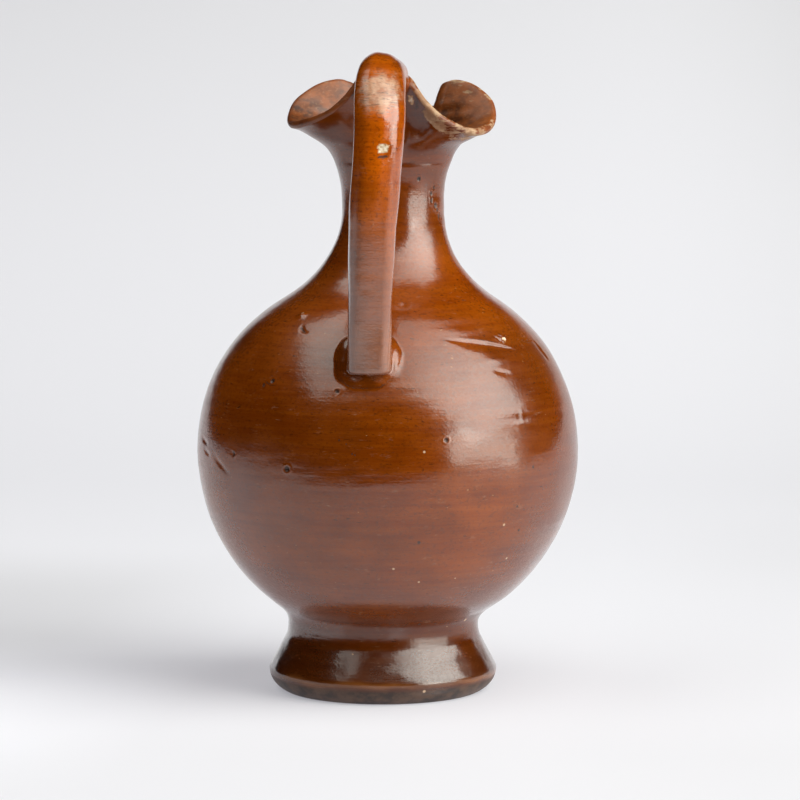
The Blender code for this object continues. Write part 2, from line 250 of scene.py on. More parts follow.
def rim_table():
    rows = [(-RIM[1][0],) + RIM[1][1:]] + list(RIM) + [(360.0 - RIM[-2][0],) + RIM[-2][1:]]
    rows = np.array(rows)
    fine = np.linspace(-180.0, 180.0, 2881)
    out = np.zeros((len(fine), 4))
    for n, angle in enumerate(fine):
        a = abs(angle)
        i = int(np.clip(np.searchsorted(rows[:, 0], a + 1e-9) - 1, 1, len(rows) - 3))
        x0, x1 = rows[i, 0], rows[i + 1, 0]
        t = (a - x0) / (x1 - x0)
        y0, y1 = rows[i, 1:], rows[i + 1, 1:]
        m0 = (y1 - rows[i - 1, 1:]) / (x1 - rows[i - 1, 0]) * (x1 - x0)
        m1 = (rows[i + 2, 1:] - y0) / (rows[i + 2, 0] - x0) * (x1 - x0)
        v = ((2 * t ** 3 - 3 * t * t + 1) * y0 + (t ** 3 - 2 * t * t + t) * m0
             + (-2 * t ** 3 + 3 * t * t) * y1 + (t ** 3 - t * t) * m1)
        if angle > 0.0:
            hang = math.exp(-((angle - DROOP_ANGLE) / DROOP_SPAN) ** 2)
            v[0] -= NARROWER * math.exp(-((angle - 95.0) / 35.0) ** 2)
            v[1] -= DROOP * hang
            v[2] -= 9.0 * hang
        out[n] = v
    return fine, out


RIM_ANGLES, RIM_VALUES = rim_table()


def outside(angle, v):
    """Points (mm) of the smooth outside: v is the run along the profile, or
    past its end PROFILE_END + t with t from 0 to 1 up the flare."""
    angle = np.asarray(angle, float)
    v = np.asarray(v, float)
    r = np.interp(v, RUN, PROFILE[:, 0])
    z = np.interp(v, RUN, PROFILE[:, 1])
    t = np.clip(v - PROFILE_END, 0.0, 1.0)
    up = v > PROFILE_END
    radius, height, slope, reach = (np.interp(angle, RIM_ANGLES, RIM_VALUES[:, c]) for c in range(4))
    sl = np.radians(slope)
    s = 1.0 - t
    r1, z1 = NECK_TOP_RADIUS + NECK_SPREAD * NECK_REACH, NECK_TOP + NECK_REACH
    r2, z2 = radius - reach * np.cos(sl), height - reach * np.sin(sl)
    rf = s ** 3 * NECK_TOP_RADIUS + 3 * s * s * t * r1 + 3 * s * t * t * r2 + t ** 3 * radius
    zf = s ** 3 * NECK_TOP + 3 * s * s * t * z1 + 3 * s * t * t * z2 + t ** 3 * height
    r = np.where(up, rf, r)
    z = np.where(up, zf, z)
    a = np.radians(angle)
    return np.stack([lean(z) + r * np.sin(a), -r * np.cos(a), z], axis=-1)


def outside_normal(angle, v):
    e = 0.15
    du = outside(angle + e, v) - outside(angle - e, v)
    k = np.where(np.asarray(v) > PROFILE_END - 0.01, 0.01, 0.25)
    hi = np.minimum(v + k, PROFILE_END + 1.0)
    dv = outside(angle, hi) - outside(angle, np.maximum(v - k, 0.0))
    n = np.cross(du, dv)
    return n / np.linalg.norm(n, axis=-1, keepdims=True), dv / np.linalg.norm(dv, axis=-1, keepdims=True)


# ------------------------------------------------- what happened to the clay
WOBBLE = Waves(3, 38.0, 120.0, 16)
UNEVEN = Waves(11, 14.0, 34.0, 22, squash=(0.8, 0.8, 1.4))
RINGS = Waves(29, 3.4, 9.0, 16, squash=(0.05, 0.05, 1.0))
RING_STRENGTH = Waves(31, 30.0, 90.0, 10)
FINE = Waves(47, 2.2, 5.5, 26)
FOOT_WAVE = Waves(83, 7.0, 22.0, 18)


def local(angle, z, at_angle, at_z, turn=0.0):
    """Millimetres across and up from a spot on the wall, turned by `turn`."""
    r = np.where(np.asarray(z) > 150.0, 20.0, np.maximum(body_radius(np.clip(z, 30.0, 140.0)), 17.0))
    x = np.radians(angle - at_angle) * r
    run = np.interp(z, PROFILE[:, 1], RUN) - run_at(at_z)
    c, s = math.cos(math.radians(turn)), math.sin(math.radians(turn))
    return x * c + run * s, -x * s + run * c


def pit(angle, z, at, wide, deep, rim=0.25):
    """A small round hollow with a slightly raised lip."""
    x, y = local(angle, z, *at)
    q = np.hypot(x, y) / wide
    return -deep * np.exp(-(q * 1.5) ** 4) + rim * deep * np.exp(-((q - 1.35) / 0.35) ** 2)


def groove(angle, z, at, turn, length, above, below, deep, bend=0.0):
    """A long dent: its upper side is `above` wide and its lower side `below`."""
    x, y = local(angle, z, at[0], at[1], turn)
    y = y - bend * (x / length) ** 2
    ends = np.clip(1.0 - (x / length) ** 2, 0.0, 1.0)
    side = np.where(y > 0.0, y / above, -y / below)
    return -deep * ends * (1.0 - smooth(side))


def scoop(angle, z, at, turn, length, above, below, deep, bend=0.0):
    """A gouge with a steep upper side and a long flat slope below it."""
    x, y = local(angle, z, at[0], at[1], turn)
    y = y - bend * (x / length) ** 2
    ends = np.clip(1.0 - np.abs(x / length) ** 2.4, 0.0, 1.0)
    up = 1.0 - smooth(y / above)
    down = np.clip(1.0 + y / (below * np.maximum(ends, 0.05)), 0.0, 1.0)
    return -deep * ends * np.where(y > 0.0, up, smooth(down))


def dents(angle, z):
    """Inward (-) and outward (+) marks on the outside wall, mm."""
    d = np.zeros_like(z)
    # scar on the right shoulder, torn at its upper right end
    d += scoop(angle, z, (44.8, 121.8), -12.0, 14.5, 0.7, 4.8, 0.60, bend=-0.9)
    x, y = local(angle, z, 55.8, 122.9)
    d += 0.50 * np.exp(-((x / 2.2) ** 2 + (y / 1.7) ** 2)) * (1.0 + 0.6 * np.sin(2.9 * x + 1.0) * np.sin(2.3 * y))
    d += groove(angle, z, (47.9, 112.6), -12.0, 4.2, 0.6, 1.7, 0.26)
    x, y = local(angle, z, 48.0, 116.3)
    d += 0.22 * np.exp(-((x / 5.0) ** 2 + (y / 1.4) ** 2))
    # knock near the right edge
    d += groove(angle, z, (73.0, 120.8), -10.0, 7.0, 0.5, 0.9, 0.30)
    d += groove(angle, z, (79.2, 117.0), -78.0, 4.6, 0.7, 1.6, 0.45)
    # upright weal at the right
    x, y = local(angle, z, 50.9, 98.0)
    d += 0.11 * np.exp(-((x / 0.9) ** 2 + (y / 1.8) ** 2)) - 0.05 * np.exp(-(((x + 1.5) / 0.8) ** 2 + (y / 2.0) ** 2))
    # knocks on the left: two on the edge, a long one in front of them
    d += groove(angle, z, (-65.4, 87.3), -12.0, 4.2, 0.9, 1.5, 0.40)
    d += groove(angle, z, (-62.8, 83.8), -14.0, 3.6, 0.8, 1.5, 0.34)
    d += groove(angle, z, (-52.7, 80.8), -28.0, 6.5, 0.9, 1.9, 0.36)
    # lump beside the handle's foot, with a hooked scratch below it
    x, y = local(angle, z, -37.6, 130.0)
    d += 0.55 * np.exp(-((x / 1.6) ** 2 + (y / 1.5) ** 2))
    d += groove(angle, z, (-31.0, 125.6), -38.0, 2.8, 0.6, 0.8, 0.42, bend=1.2)
    # hollow between the strap and the neck's foot
    x, y = local(angle, z, 13.0, 133.6)
    d -= 0.5 * np.exp(-((x / 1.5) ** 2 + (y / 1.2) ** 2))
    return d


PITS = (
    # (angle, height), half width, depth
    ((-24.4, 81.8), 1.05, 0.55),
    ((-45.5, 85.0), 0.8, 0.40),
    ((-34.0, 109.6), 0.9, 0.25),
    ((-37.0, 108.1), 0.8, 0.22),
    ((-9.9, 107.4), 0.8, 0.30),
    ((23.3, 91.9), 0.8, 0.30),
    ((34.9, 174.7), 0.8, 0.25),
    ((53.6, 169.6), 0.75, 0.40),
    ((54.5, 167.3), 0.75, 0.40),
    ((61.5, 165.6), 1.0, 0.50),
    ((65.5, 164.0), 0.7, 0.35),
    ((69.0, 161.8), 0.8, 0.35),
    ((57.5, 171.6), 0.6, 0.30),
)


def relief(angle, v, base, flare_fade=1.0):
    """Displacement of the outside along its normal, mm."""
    z = base[..., 2]
    foot = smooth((z - 3.0) / 4.0)
    amount = 0.17 * WOBBLE(base) * smooth((z - 24.0) / 12.0) * (1.0 - 0.5 * smooth((z - 140.0) / 25.0))
    amount += 0.050 * UNEVEN(base) * foot
    strength = 0.55 + 0.45 * RING_STRENGTH(base)
    helix = base + np.stack([0 * z, 0 * z, np.asarray(angle) / 360.0 * 3.2], axis=-1)
    amount += 0.022 * RINGS(helix) * np.clip(strength, 0.1, 1.4) * foot
    amount += 0.007 * FINE(base) * foot
    amount += dents(angle, z)
    for at, wide, deep in PITS:
        near = (np.abs(z - at[1]) < 4.0)
        if near.any():
            amount = amount + np.where(near, pit(angle, z, at, wide, deep), 0.0)
    # uneven cone of the foot
    amount += 0.06 * FOOT_WAVE(base) * smooth((z - 7.0) / 3.0) * smooth((20.0 - z) / 3.0)
    # turned line low on the flare
    where = smooth((angle + 60.0) / 20.0) * smooth((100.0 - angle) / 40.0)
    amount -= 0.18 * np.exp(-((z - 180.0) / 0.6) ** 2) * where
    amount += 0.12 * np.exp(-((z - 178.7) / 0.7) ** 2) * where
    # bellied under the lobes, so that the wall turns out early
    where = smooth((np.abs(angle) - 8.0) / 12.0) * smooth((92.0 - np.abs(angle)) / 25.0)
    amount -= 0.40 * np.exp(-((z - 182.0) / 3.2) ** 2) * where
    amount += 0.85 * np.exp(-((z - 188.6) / 3.8) ** 2) * where * smooth((PROFILE_END + 1.0 - v) / 0.3)
    where = np.exp(-((z - 193.5) / 5.0) ** 4)
    for at, deep in ((24.0, 0.12), (29.0, 0.08), (-27.0, 0.10)):
        amount -= deep * where * np.exp(-(((angle - at) * 0.42 - 0.12 * (z - 193.5) * np.sign(at)) / 1.1) ** 2)
    return amount


# ---------------------------------------------------------------- the vessel
def spread(lo, hi, density, count):
    """`count` values from lo to hi, closer where density(x) is larger."""
    fine = np.linspace(lo, hi, 6001)
    d = density(fine)
    total = np.concatenate([[0.0], np.cumsum((d[1:] + d[:-1]) / 2)])
    total /= total[-1]
    return np.interp(np.linspace(0.0, 1.0, count), total, fine)


def column_angles():
    def density(a):
        b = np.abs(a)
        return (0.85 + 0.35 * smooth((115.0 - b) / 30.0) + 0.9 * np.exp(-((b - PINCH_ANGLE) / 13.0) ** 2)
                + 0.45 * np.exp(-((b - 19.0) / 9.0) ** 2))
    return spread(-180.0, 180.0, density, COLUMNS + 1)[:-1]


ANGLES = column_angles()


def row_runs():
    """Run values of the outside rows, base edge to the top of the flare."""
    def density(s):
        z = np.interp(s, RUN, PROFILE[:, 1])
        d = np.full_like(s, 1.0)
        d += 1.1 * smooth((9.5 - z) / 3.0)
        d += 0.35 * smooth((34.0 - z) / 6.0)
        d += 0.25 * bump(z, 122.0, 22.0)
        return d
    low = spread(0.0, PROFILE_END, density, 208)
    flare = PROFILE_END + np.linspace(0.0, 1.0, 38)[1:]
    return np.concatenate([low, flare])


ROWS = row_runs()


def build_vessel():
    """Closed mesh of the thrown vessel as a bmesh, in millimetres."""
    n_a = COLUMNS
    aa, vv = np.meshgrid(ANGLES, ROWS)
    base = outside(aa.ravel(), vv.ravel())
    normal, along = outside_normal(aa.ravel(), vv.ravel())
    shape = (len(ROWS), n_a, 3)
    plain = base.reshape(shape)
    normal = normal.reshape(shape)
    along = along.reshape(shape)

    bm = bmesh.new()
    layer_a = bm.verts.layers.float.new("a")
    layer_v = bm.verts.layers.float.new("v")
    rings = []

    def add_ring(points, a_values, v_values):
        ring = []
        for p, a, v in zip(points, a_values, v_values):
            vert = bm.verts.new((float(p[0]), float(p[1]), float(p[2])))
            vert[layer_a] = float(a)
            vert[layer_v] = float(v)
            ring.append(vert)
        rings.append(ring)
        return ring

    # underside, from the middle outwards, with the arcs left by the cutting wire
    half = ANGLES[::2]
    radii = np.concatenate([np.linspace(1.5, BASE_RADIUS - 3.0, 24), [BASE_RADIUS - 1.8, BASE_RADIUS - 0.8]])
    centre = bm.verts.new((0.0, 0.0, 0.35))
    centre[layer_v] = -1.0
    for r in radii:
        t = np.radians(half)
        x, y = r * np.sin(t), -r * np.cos(t)
        arcs = np.sin(np.hypot(x - 62.0, y + 30.0) * 1.15 + 0.7 * np.sin(x * 0.12)) * 0.09
        rise = (0.30 + arcs) * smooth((BASE_RADIUS - 1.2 - r) / 6.0)
        add_ring(np.stack([x, y, np.maximum(rise, 0.0)], axis=1), half, np.full(len(half), -1.0))
    for i in range(len(ROWS)):
        add_ring(plain[i], ANGLES, np.full(n_a, ROWS[i]))
    # half-round lip, a little uneven in thickness
    tip = plain[-1]
    thick = LIP * (1.0 + 0.08 * np.sin(np.radians(ANGLES * 5 + 40)) + 0.05 * np.sin(np.radians(ANGLES * 11)))
    for k in range(1, 8):
        b = math.pi * k / 8
        add_ring(tip - normal[-1] * (thick / 2 * (1 - math.cos(b)))[:, None]
                 + along[-1] * (LIP / 2) * math.sin(b), ANGLES, np.full(n_a, 900.0 + k))
    # inside of mouth and upper neck
    z = plain[:, :, 2].mean(axis=1)
    first_flare = int(np.argmax(ROWS > PROFILE_END))
    count = len(ROWS)
    fine_stop = int(np.argmax(z > 158.0))
    stop = int(np.argmax(z > 52.0))
    turn = Waves(71, 2.6, 7.0, 10, squash=(0.05, 0.05, 1.0))
    for i in range(count - 1, fine_stop - 1, -1):
        if i >= first_flare:
            w = thick + (NECK_WALL - thick) * float(smooth((count - 1 - i) / (count - first_flare)))
        else:
            w = NECK_WALL + (BODY_WALL - NECK_WALL) * float(smooth((164.0 - z[i]) / 40.0))
        p = plain[i] - normal[i] * np.broadcast_to(np.asarray(w), (n_a,))[:, None]
        p = p + normal[i] * (0.10 * turn(p) * float(smooth((count - 1 - i) / 8.0)))[:, None]
        add_ring(p, ANGLES, np.full(n_a, 1000.0))
    # inside of the body, coarser
    for i in range(fine_stop - 2, stop - 1, -3):
        w = NECK_WALL + (BODY_WALL - NECK_WALL) * float(smooth((164.0 - z[i]) / 40.0))
        p = (plain[i] - normal[i] * w)[::2]
        p = p + normal[i][::2] * (0.25 * turn(p * np.array([1.0, 1.0, 0.6])))[:, None]
        add_ring(p, half, np.full(len(half), 1000.0))
        last_w = w
    last = plain[i] - normal[i] * last_w
    z0 = float(last[:, 2].mean())
    r0 = float(np.hypot(last[:, 0] - lean(z0), last[:, 1]).mean())
    tr, tz = body_tangent(z0)
    curve = np.vstack([
        bezier((r0, z0), (r0 - 17.0 * tr, z0 - 17.0 * tz),
               (WELL_RADIUS + 5.0, WELL_HEIGHT + 5.0), (WELL_RADIUS, WELL_HEIGHT), 12),
        bezier((WELL_RADIUS, WELL_HEIGHT), (WELL_RADIUS - 6.0, WELL_HEIGHT - 6.0),
               (WELL_RADIUS - 7.0, FLOOR_HEIGHT), (6.0, FLOOR_HEIGHT), 10)])
    t = np.radians(half)
    for r, zz in curve:
        add_ring(np.stack([lean(zz) + r * np.sin(t), -r * np.cos(t), np.full(len(t), zz)], axis=1),
                 half, np.full(len(half), 1000.0))
    finish = bm.verts.new((float(lean(FLOOR_HEIGHT)), 0.0, FLOOR_HEIGHT))
    finish[layer_v] = 1000.0

    # faces
    first = rings[0]
    n = len(first)
    for j in range(n):
        bm.faces.new((centre, first[(j + 1) % n], first[j]))
    for lower, upper in zip(rings, rings[1:]):
        if len(lower) == len(upper):
            n = len(lower)
            for j in range(n):
                k = (j + 1) % n
                bm.faces.new((lower[j], lower[k], upper[k], upper[j]))
        elif len(lower) < len(upper):
            n = len(lower)
            m = len(upper)
            for j in range(n):
                k = (j + 1) % n
                a, b, c = upper[2 * j], upper[2 * j + 1], upper[(2 * j + 2) % m]
                bm.faces.new((lower[j], lower[k], b))
                bm.faces.new((lower[j], b, a))
                bm.faces.new((lower[k], c, b))
        else:
            n = len(upper)
            m = len(lower)
            for j in range(n):
                k = (j + 1) % n
                a, b, c = lower[2 * j], lower[2 * j + 1], lower[(2 * j + 2) % m]
                bm.faces.new((a, b, upper[j]))
                bm.faces.new((b, c, upper[k]))
                bm.faces.new((b, upper[k], upper[j]))
    last = rings[-1]
    n = len(last)
    for j in range(n):
        bm.faces.new((last[j], last[(j + 1) % n], finish))
    return bm, layer_a, layer_v


# places on the wall where the grid is split finer:
# (angle, height, half width, half height, largest face left in square mm)
FINER = (
    (45.0, 119.5, 17.0, 8.5, 0.55),
    (55.0, 121.0, 6.5, 4.5, 0.25),
    (77.0, 119.0, 10.0, 6.5, 0.9),
    (50.9, 98.0, 4.0, 4.5, 0.3),
    (-59.0, 84.0, 13.0, 7.5, 0.9),
    (-34.5, 128.0, 6.5, 5.5, 0.6),
    (0.9, 117.4, 14.0, 13.0, 0.5),
    (27.0, 193.5, 4.0, 6.0, 0.3),
) + tuple((at[0], at[1], wide * 2.6, wide * 2.6, 0.25) for at, wide, deep in PITS)


def refine(bm, layer_a, layer_v):
    """Split the faces near small marks, then put every outside point in place."""
    for angle, height, wide, tall, largest in FINER:
        for _ in range(2):
            edges = set()
            run = run_at(height) if height < NECK_TOP else None
            for f in bm.faces:
                a = v = 0.0
                bad = False
                for vert in f.verts:
                    if vert[layer_v] < 0.0 or vert[layer_v] > 899.0:
                        bad = True
                        break
                    a += vert[layer_a]
                    v += vert[layer_v]
                if bad:
                    continue
                n = len(f.verts)
                a, v = a / n, v / n
                if abs(a - angle) > 40.0:
                    continue
                if v > PROFILE_END:
                    x, y = (a - angle) / 57.3 * 20.0, f.calc_center_median().z - height
                else:
                    zz = float(np.interp(v, RUN, PROFILE[:, 1]))
                    r = float(np.interp(v, RUN, PROFILE[:, 0]))
                    x = (a - angle) / 57.3 * r
                    y = v - run if run is not None else zz - height
                if abs(x) < wide and abs(y) < tall and f.calc_area() > largest:
                    edges.update(f.edges)
            if edges:
                bmesh.ops.subdivide_edges(bm, edges=list(edges), cuts=1, use_grid_fill=True)
    bm.verts.ensure_lookup_table()
    a = np.array([v[layer_a] for v in bm.verts])
    v = np.array([v[layer_v] for v in bm.verts])
    on = (v >= 0.0) & (v < 899.0)
    base = outside(a[on], v[on])
    normal, _ = outside_normal(a[on], v[on])
    place = base + normal * relief(a[on], v[on], base)[:, None]
    place[:, 2] = np.where(v[on] <= 1e-6, 0.0, np.maximum(place[:, 2], 0.0))
    for vert, p in zip([bm.verts[i] for i in np.flatnonzero(on)], place):
        vert.co = p
    return bm


def mesh_from_bmesh(bm, name):
    mesh = bpy.data.meshes.new(name)
    bm.to_mesh(mesh)
    bm.free()
    return mesh


# ---------------------------------------------------------------- the handle
def spline(points, step, end=()):
    """Smooth line through points, its directions and its run. The last rings
    stand at the distances `end` from its lower end."""
    pts = np.array(points, float)
    pts = np.vstack([2 * pts[0] - pts[1], pts, 2 * pts[-1] - pts[-2]])
    fine = []
    for i in range(1, len(pts) - 2):
        for t in np.linspace(0.0, 1.0, 60, endpoint=False):
            fine.append(0.5 * ((2 * pts[i]) + (pts[i + 1] - pts[i - 1]) * t
                        + (2 * pts[i - 1] - 5 * pts[i] + 4 * pts[i + 1] - pts[i + 2]) * t * t
                        + (3 * pts[i] - pts[i - 1] - 3 * pts[i + 1] + pts[i + 2]) * t ** 3))
    fine.append(pts[-2])
    fine = np.array(fine)
    # soften the joints of the curve a little
    kernel = np.hanning(61)
    kernel /= kernel.sum()
    for c in range(fine.shape[1]):
        padded = np.concatenate([2 * fine[0, c] - fine[30:0:-1, c], fine[:, c], 2 * fine[-1, c] - fine[-2:-32:-1, c]])
        fine[:, c] = np.convolve(padded, kernel, mode='valid')
    length = np.concatenate([[0.0], np.cumsum(np.linalg.norm(np.diff(fine[:, :2], axis=0), axis=1))])
    stop = length[-1] - max(end, default=0.0)
    at = np.linspace(0.0, stop, int(stop / step) + 1)
    at = np.concatenate([at, [length[-1] - e for e in end[1:]]])
    out = np.stack([np.interp(at, length, fine[:, c]) for c in range(fine.shape[1])], axis=1)
    tan = np.gradient(out[:, :2], at, axis=0)
    return out, tan / np.linalg.norm(tan, axis=1, keepdims=True), at


def sink(p, deep):
    """Keep points of the shoulder joint at most `deep` inside the body."""
    z = p[:, 2]
    cx = lean(z)
    rho = np.hypot(p[:, 0] - cx, p[:, 1])
    zz = np.clip(z, 60.0, SHOULDER_HEIGHT)
    e = 0.05
    dr = body_radius(zz + e) - body_radius(zz - e)
    tz = 2 * e / np.hypot(dr, 2 * e)
    least = body_radius(zz) - deep / tz
    k = np.where((z <= SHOULDER_HEIGHT) & (rho < least), least / rho, 1.0)
    return np.stack([cx + (p[:, 0] - cx) * k, p[:, 1] * k, z], axis=1)


def rings_mesh(rings, start, end, name):
    n = len(rings[0])
    verts = [tuple(start)] + [tuple(p) for ring in rings for p in ring] + [tuple(end)]
    faces = [(0, 1 + (j + 1) % n, 1 + j) for j in range(n)]
    for i in range(len(rings) - 1):
        a, b = 1 + i * n, 1 + (i + 1) * n
        faces += [(a + j, a + (j + 1) % n, b + (j + 1) % n, b + j) for j in range(n)]
    last = 1 + (len(rings) - 1) * n
    faces += [(last + j, last + (j + 1) % n, len(verts) - 1) for j in range(n)]
    mesh = bpy.data.meshes.new(name)
    mesh.from_pydata([tuple(float(c) for c in v) for v in verts], [], faces)
    mesh.update()
    volume = 0.0
    for poly in mesh.polygons:
        vs = [mesh.vertices[i].co for i in poly.vertices]
        for k in range(1, len(vs) - 1):
            volume += vs[0].dot(vs[k].cross(vs[k + 1]))
    if volume < 0:
        mesh.flip_normals()
    return mesh


HANDLE_LINE, HANDLE_TAN, HANDLE_RUN = spline(HANDLE_PATH, HANDLE_STEP,
                                             end=(1.4, 1.15, 0.9, 0.65, 0.42, 0.22, 0.08, 0.0))
HANDLE_TURN = 22.0        # degrees that its outer face is turned to the right
HANDLE_WAVE = Waves(5, 12.0, 46.0, 10)
PULL = Waves(17, 2.4, 8.0, 9, dims=1)


def handle_marks(across, z, d):
    """Chip and knocks on the strap's outer face, mm inwards."""
    face = smooth((d - 58.0) / 3.0)
    x, y = across - 8.0, z - 186.4
    cut = 0.6 * smooth(1.5 - ((np.abs(x) / 1.5) ** 3 + (np.abs(y) / 1.4) ** 3) ** (1.0 / 3.0)
                       * (1.0 + 0.12 * np.sin(3 * np.arctan2(y, x) + 0.8)))
    x, y = across - 7.8, z - 183.5
    cut += 0.6 * np.exp(-((x / 1.25) ** 2 + ((y - 0.5 * np.abs(x)) / 0.42) ** 2))
    # ripples left by wiping, across the arch
    cut += 0.10 * np.exp(-((z - 210.3) / 0.5) ** 2)
    for at, deep in ((205.4, 0.05), (201.8, 0.05), (198.0, 0.04), (190.8, 0.05), (176.5, 0.05), (160.4, 0.05), (146.0, 0.05)):
        cut += deep * np.exp(-((z - at) / 1.6) ** 2)
    x, y = across - 2.0, z - 140.8
    cut += 0.35 * np.exp(-((x / 0.6) ** 2 + (y / 1.3) ** 2))
    return cut * face


def handle_mesh():
    rings, marks = [], [2270.0]
    angle = 2 * math.pi * np.arange(HANDLE_SIDES) / HANDLE_SIDES
    c, s = np.cos(angle), np.sin(angle)
    for (d, z, x, width, depth), (td, tz), run in zip(HANDLE_LINE, HANDLE_TAN, HANDLE_RUN):
        total = HANDLE_RUN[-1]
        if run < ROOT_ROUND:
            dome = math.sqrt(1.0 - (1.0 - (run + 0.35) / (ROOT_ROUND + 0.35)) ** 2)
            width, depth = width * dome, depth * dome
        rest = total - run
        if rest < END_ROUND:
            cut = 2.0 * END_ROUND * (1.0 - math.sqrt(1.0 - (1.0 - rest / END_ROUND) ** 2))
            width, depth = width - cut, depth - cut
        e = 2.0 / (HANDLE_SQUARE_TOP + (HANDLE_SQUARE_LOW - HANDLE_SQUARE_TOP)
                   * float(smooth((run / total - 0.50) / 0.25)))
        cu, sv = np.sign(c) * np.abs(c) ** e, np.sign(s) * np.abs(s) ** e
        turn = math.radians(HANDLE_TURN) * (0.45 + 0.55 * float(smooth((z - 158.0) / 20.0))) * float(smooth((run - 6.0) / 14.0) * smooth((rest - 5.0) / 14.0))
        ct, st = math.cos(turn), math.sin(turn)
        swell = 0.90 + 0.22 * float(smooth((206.0 - z) / 14.0))
        u, v = cu * width / 2 * 1.02, sv * depth / 2 * np.where(s > 0.0, swell, 1.0)
        u, v = u * ct + v * st, v * ct - u * st
        cu, sv = cu * ct + sv * st, sv * ct - cu * st
        p = np.stack([x + u, -(d - tz * v), z + td * v], axis=1)
        # the pulled clay: faint ridges along it, and a slow unevenness
        n = np.stack([cu, tz * sv, td * sv], axis=1)
        n /= np.linalg.norm(n, axis=1, keepdims=True)
        ridge = 0.05 * PULL((u + np.where(s > 0.0, 3.0, -3.0))[:, None] + 0.015 * run) * smooth(np.abs(s) * 3.0)
        shift = ridge * float(smooth(run / 14.0)) + 0.11 * HANDLE_WAVE(p) * float(smooth(rest / 6.0))
        p += n * (shift - np.where(s > 0.0, handle_marks(p[:, 0], p[:, 2], -p[:, 1]), 0.0))[:, None]
        rings.append(sink(p, BURIED))
        marks += list(2000.0 + np.degrees(angle))
    first = (HANDLE_LINE[0][2], -(HANDLE_LINE[0][0] - HANDLE_TAN[0][0] * 0.3),
             HANDLE_LINE[0][1] - HANDLE_TAN[0][1] * 0.3)
    mesh = rings_mesh(rings, first, rings[-1].mean(axis=0), "handle_form")
    mesh.attributes.new("v", 'FLOAT', 'POINT').data.foreach_set("value", np.array(marks + [2400.0]))
    return mesh


def pad_mesh():
    z = PAD_HEIGHT
    r = float(body_radius(z))
    tr, tz = body_tangent(z)
    nr, nz = tz, -tr
    sides, levels = 96, 40
    a = 2 * math.pi * np.arange(sides) / sides
    c, s = np.cos(a), np.sin(a)
    e = 2.0 / PAD_SQUARE
    uneven = 1.0 + 0.02 * np.sin(3 * a + 0.6) + 0.015 * np.sin(5 * a + 2.0) + 0.012 * np.sin(9 * a)
    rings = []
    for i in range(1, levels):
        p = math.pi * i / levels - math.pi / 2
        flat = math.cos(p) ** 0.5
        u = PAD_ACROSS * flat * np.sign(c) * np.abs(c) ** e * uneven
        v = PAD_ALONG * flat * np.sign(s) * np.abs(s) ** e * uneven
        thin = 1.0 - PAD_THIN * smooth((-v / PAD_ALONG - 0.1) / 0.45)
        w = PAD_THICK * thin * math.sin(p) - 0.4 - (u * u + v * v) / 150.0
        w += 0.16 * np.sin(0.9 * u + 1.3) * np.sin(0.8 * v) * smooth((math.sin(p) - 0.2) / 0.4)
        rings.append(sink(np.stack([PAD_SHIFT + u, -(r + nr * w + tr * v), z + nz * w + tz * v], axis=1),
                          BURIED + 0.4))
    low = sink(np.array([[PAD_SHIFT, -(r - nr * PAD_THICK), z - nz * PAD_THICK]]), BURIED + 0.6)[0]
    top = (PAD_SHIFT, -(r + nr * (PAD_THICK - 0.4)), z + nz * (PAD_THICK - 0.4))
    mesh = rings_mesh(rings, low, top, "pad_form")
    mesh.attributes.new("v", 'FLOAT', 'POINT').data.foreach_set(
        "value", np.full(len(mesh.vertices), 3000.0))
    return mesh


# ------------------------------------------------------------ joining the clay
def tree_of(mesh):
    return BVHTree.FromPolygons([v.co.copy() for v in mesh.vertices],
                                [tuple(p.vertices) for p in mesh.polygons])


def signed(tree, p, reach):
    """Signed distance and its direction, or None beyond reach."""
    loc, normal, _, dist = tree.find_nearest(p, reach)
    if loc is None:
        return None
    d = p - loc
    side = 1.0 if d.dot(normal) >= 0.0 else -1.0
    if dist < 1e-5:
        return side * dist, normal
    return side * dist, (d / dist) * side


def union(target, *others):
    """Union of closed meshes; returns the joined mesh."""
    ob = bpy.data.objects.new("join_target", target)
    bpy.context.scene.collection.objects.link(ob)
    tools = [ob]
    for other in others:
        tool = bpy.data.objects.new("join_tool", other)
        bpy.context.scene.collection.objects.link(tool)
        tools.append(tool)
        m = ob.modifiers.new("join", 'BOOLEAN')
        m.operation = 'UNION'
        m.solver = 'MANIFOLD'
        m.object = tool
    dg = bpy.context.evaluated_depsgraph_get()
    mesh = bpy.data.meshes.new_from_object(ob.evaluated_get(dg))
    for tool in tools:
        bpy.data.objects.remove(tool, do_unlink=True)
    return mesh


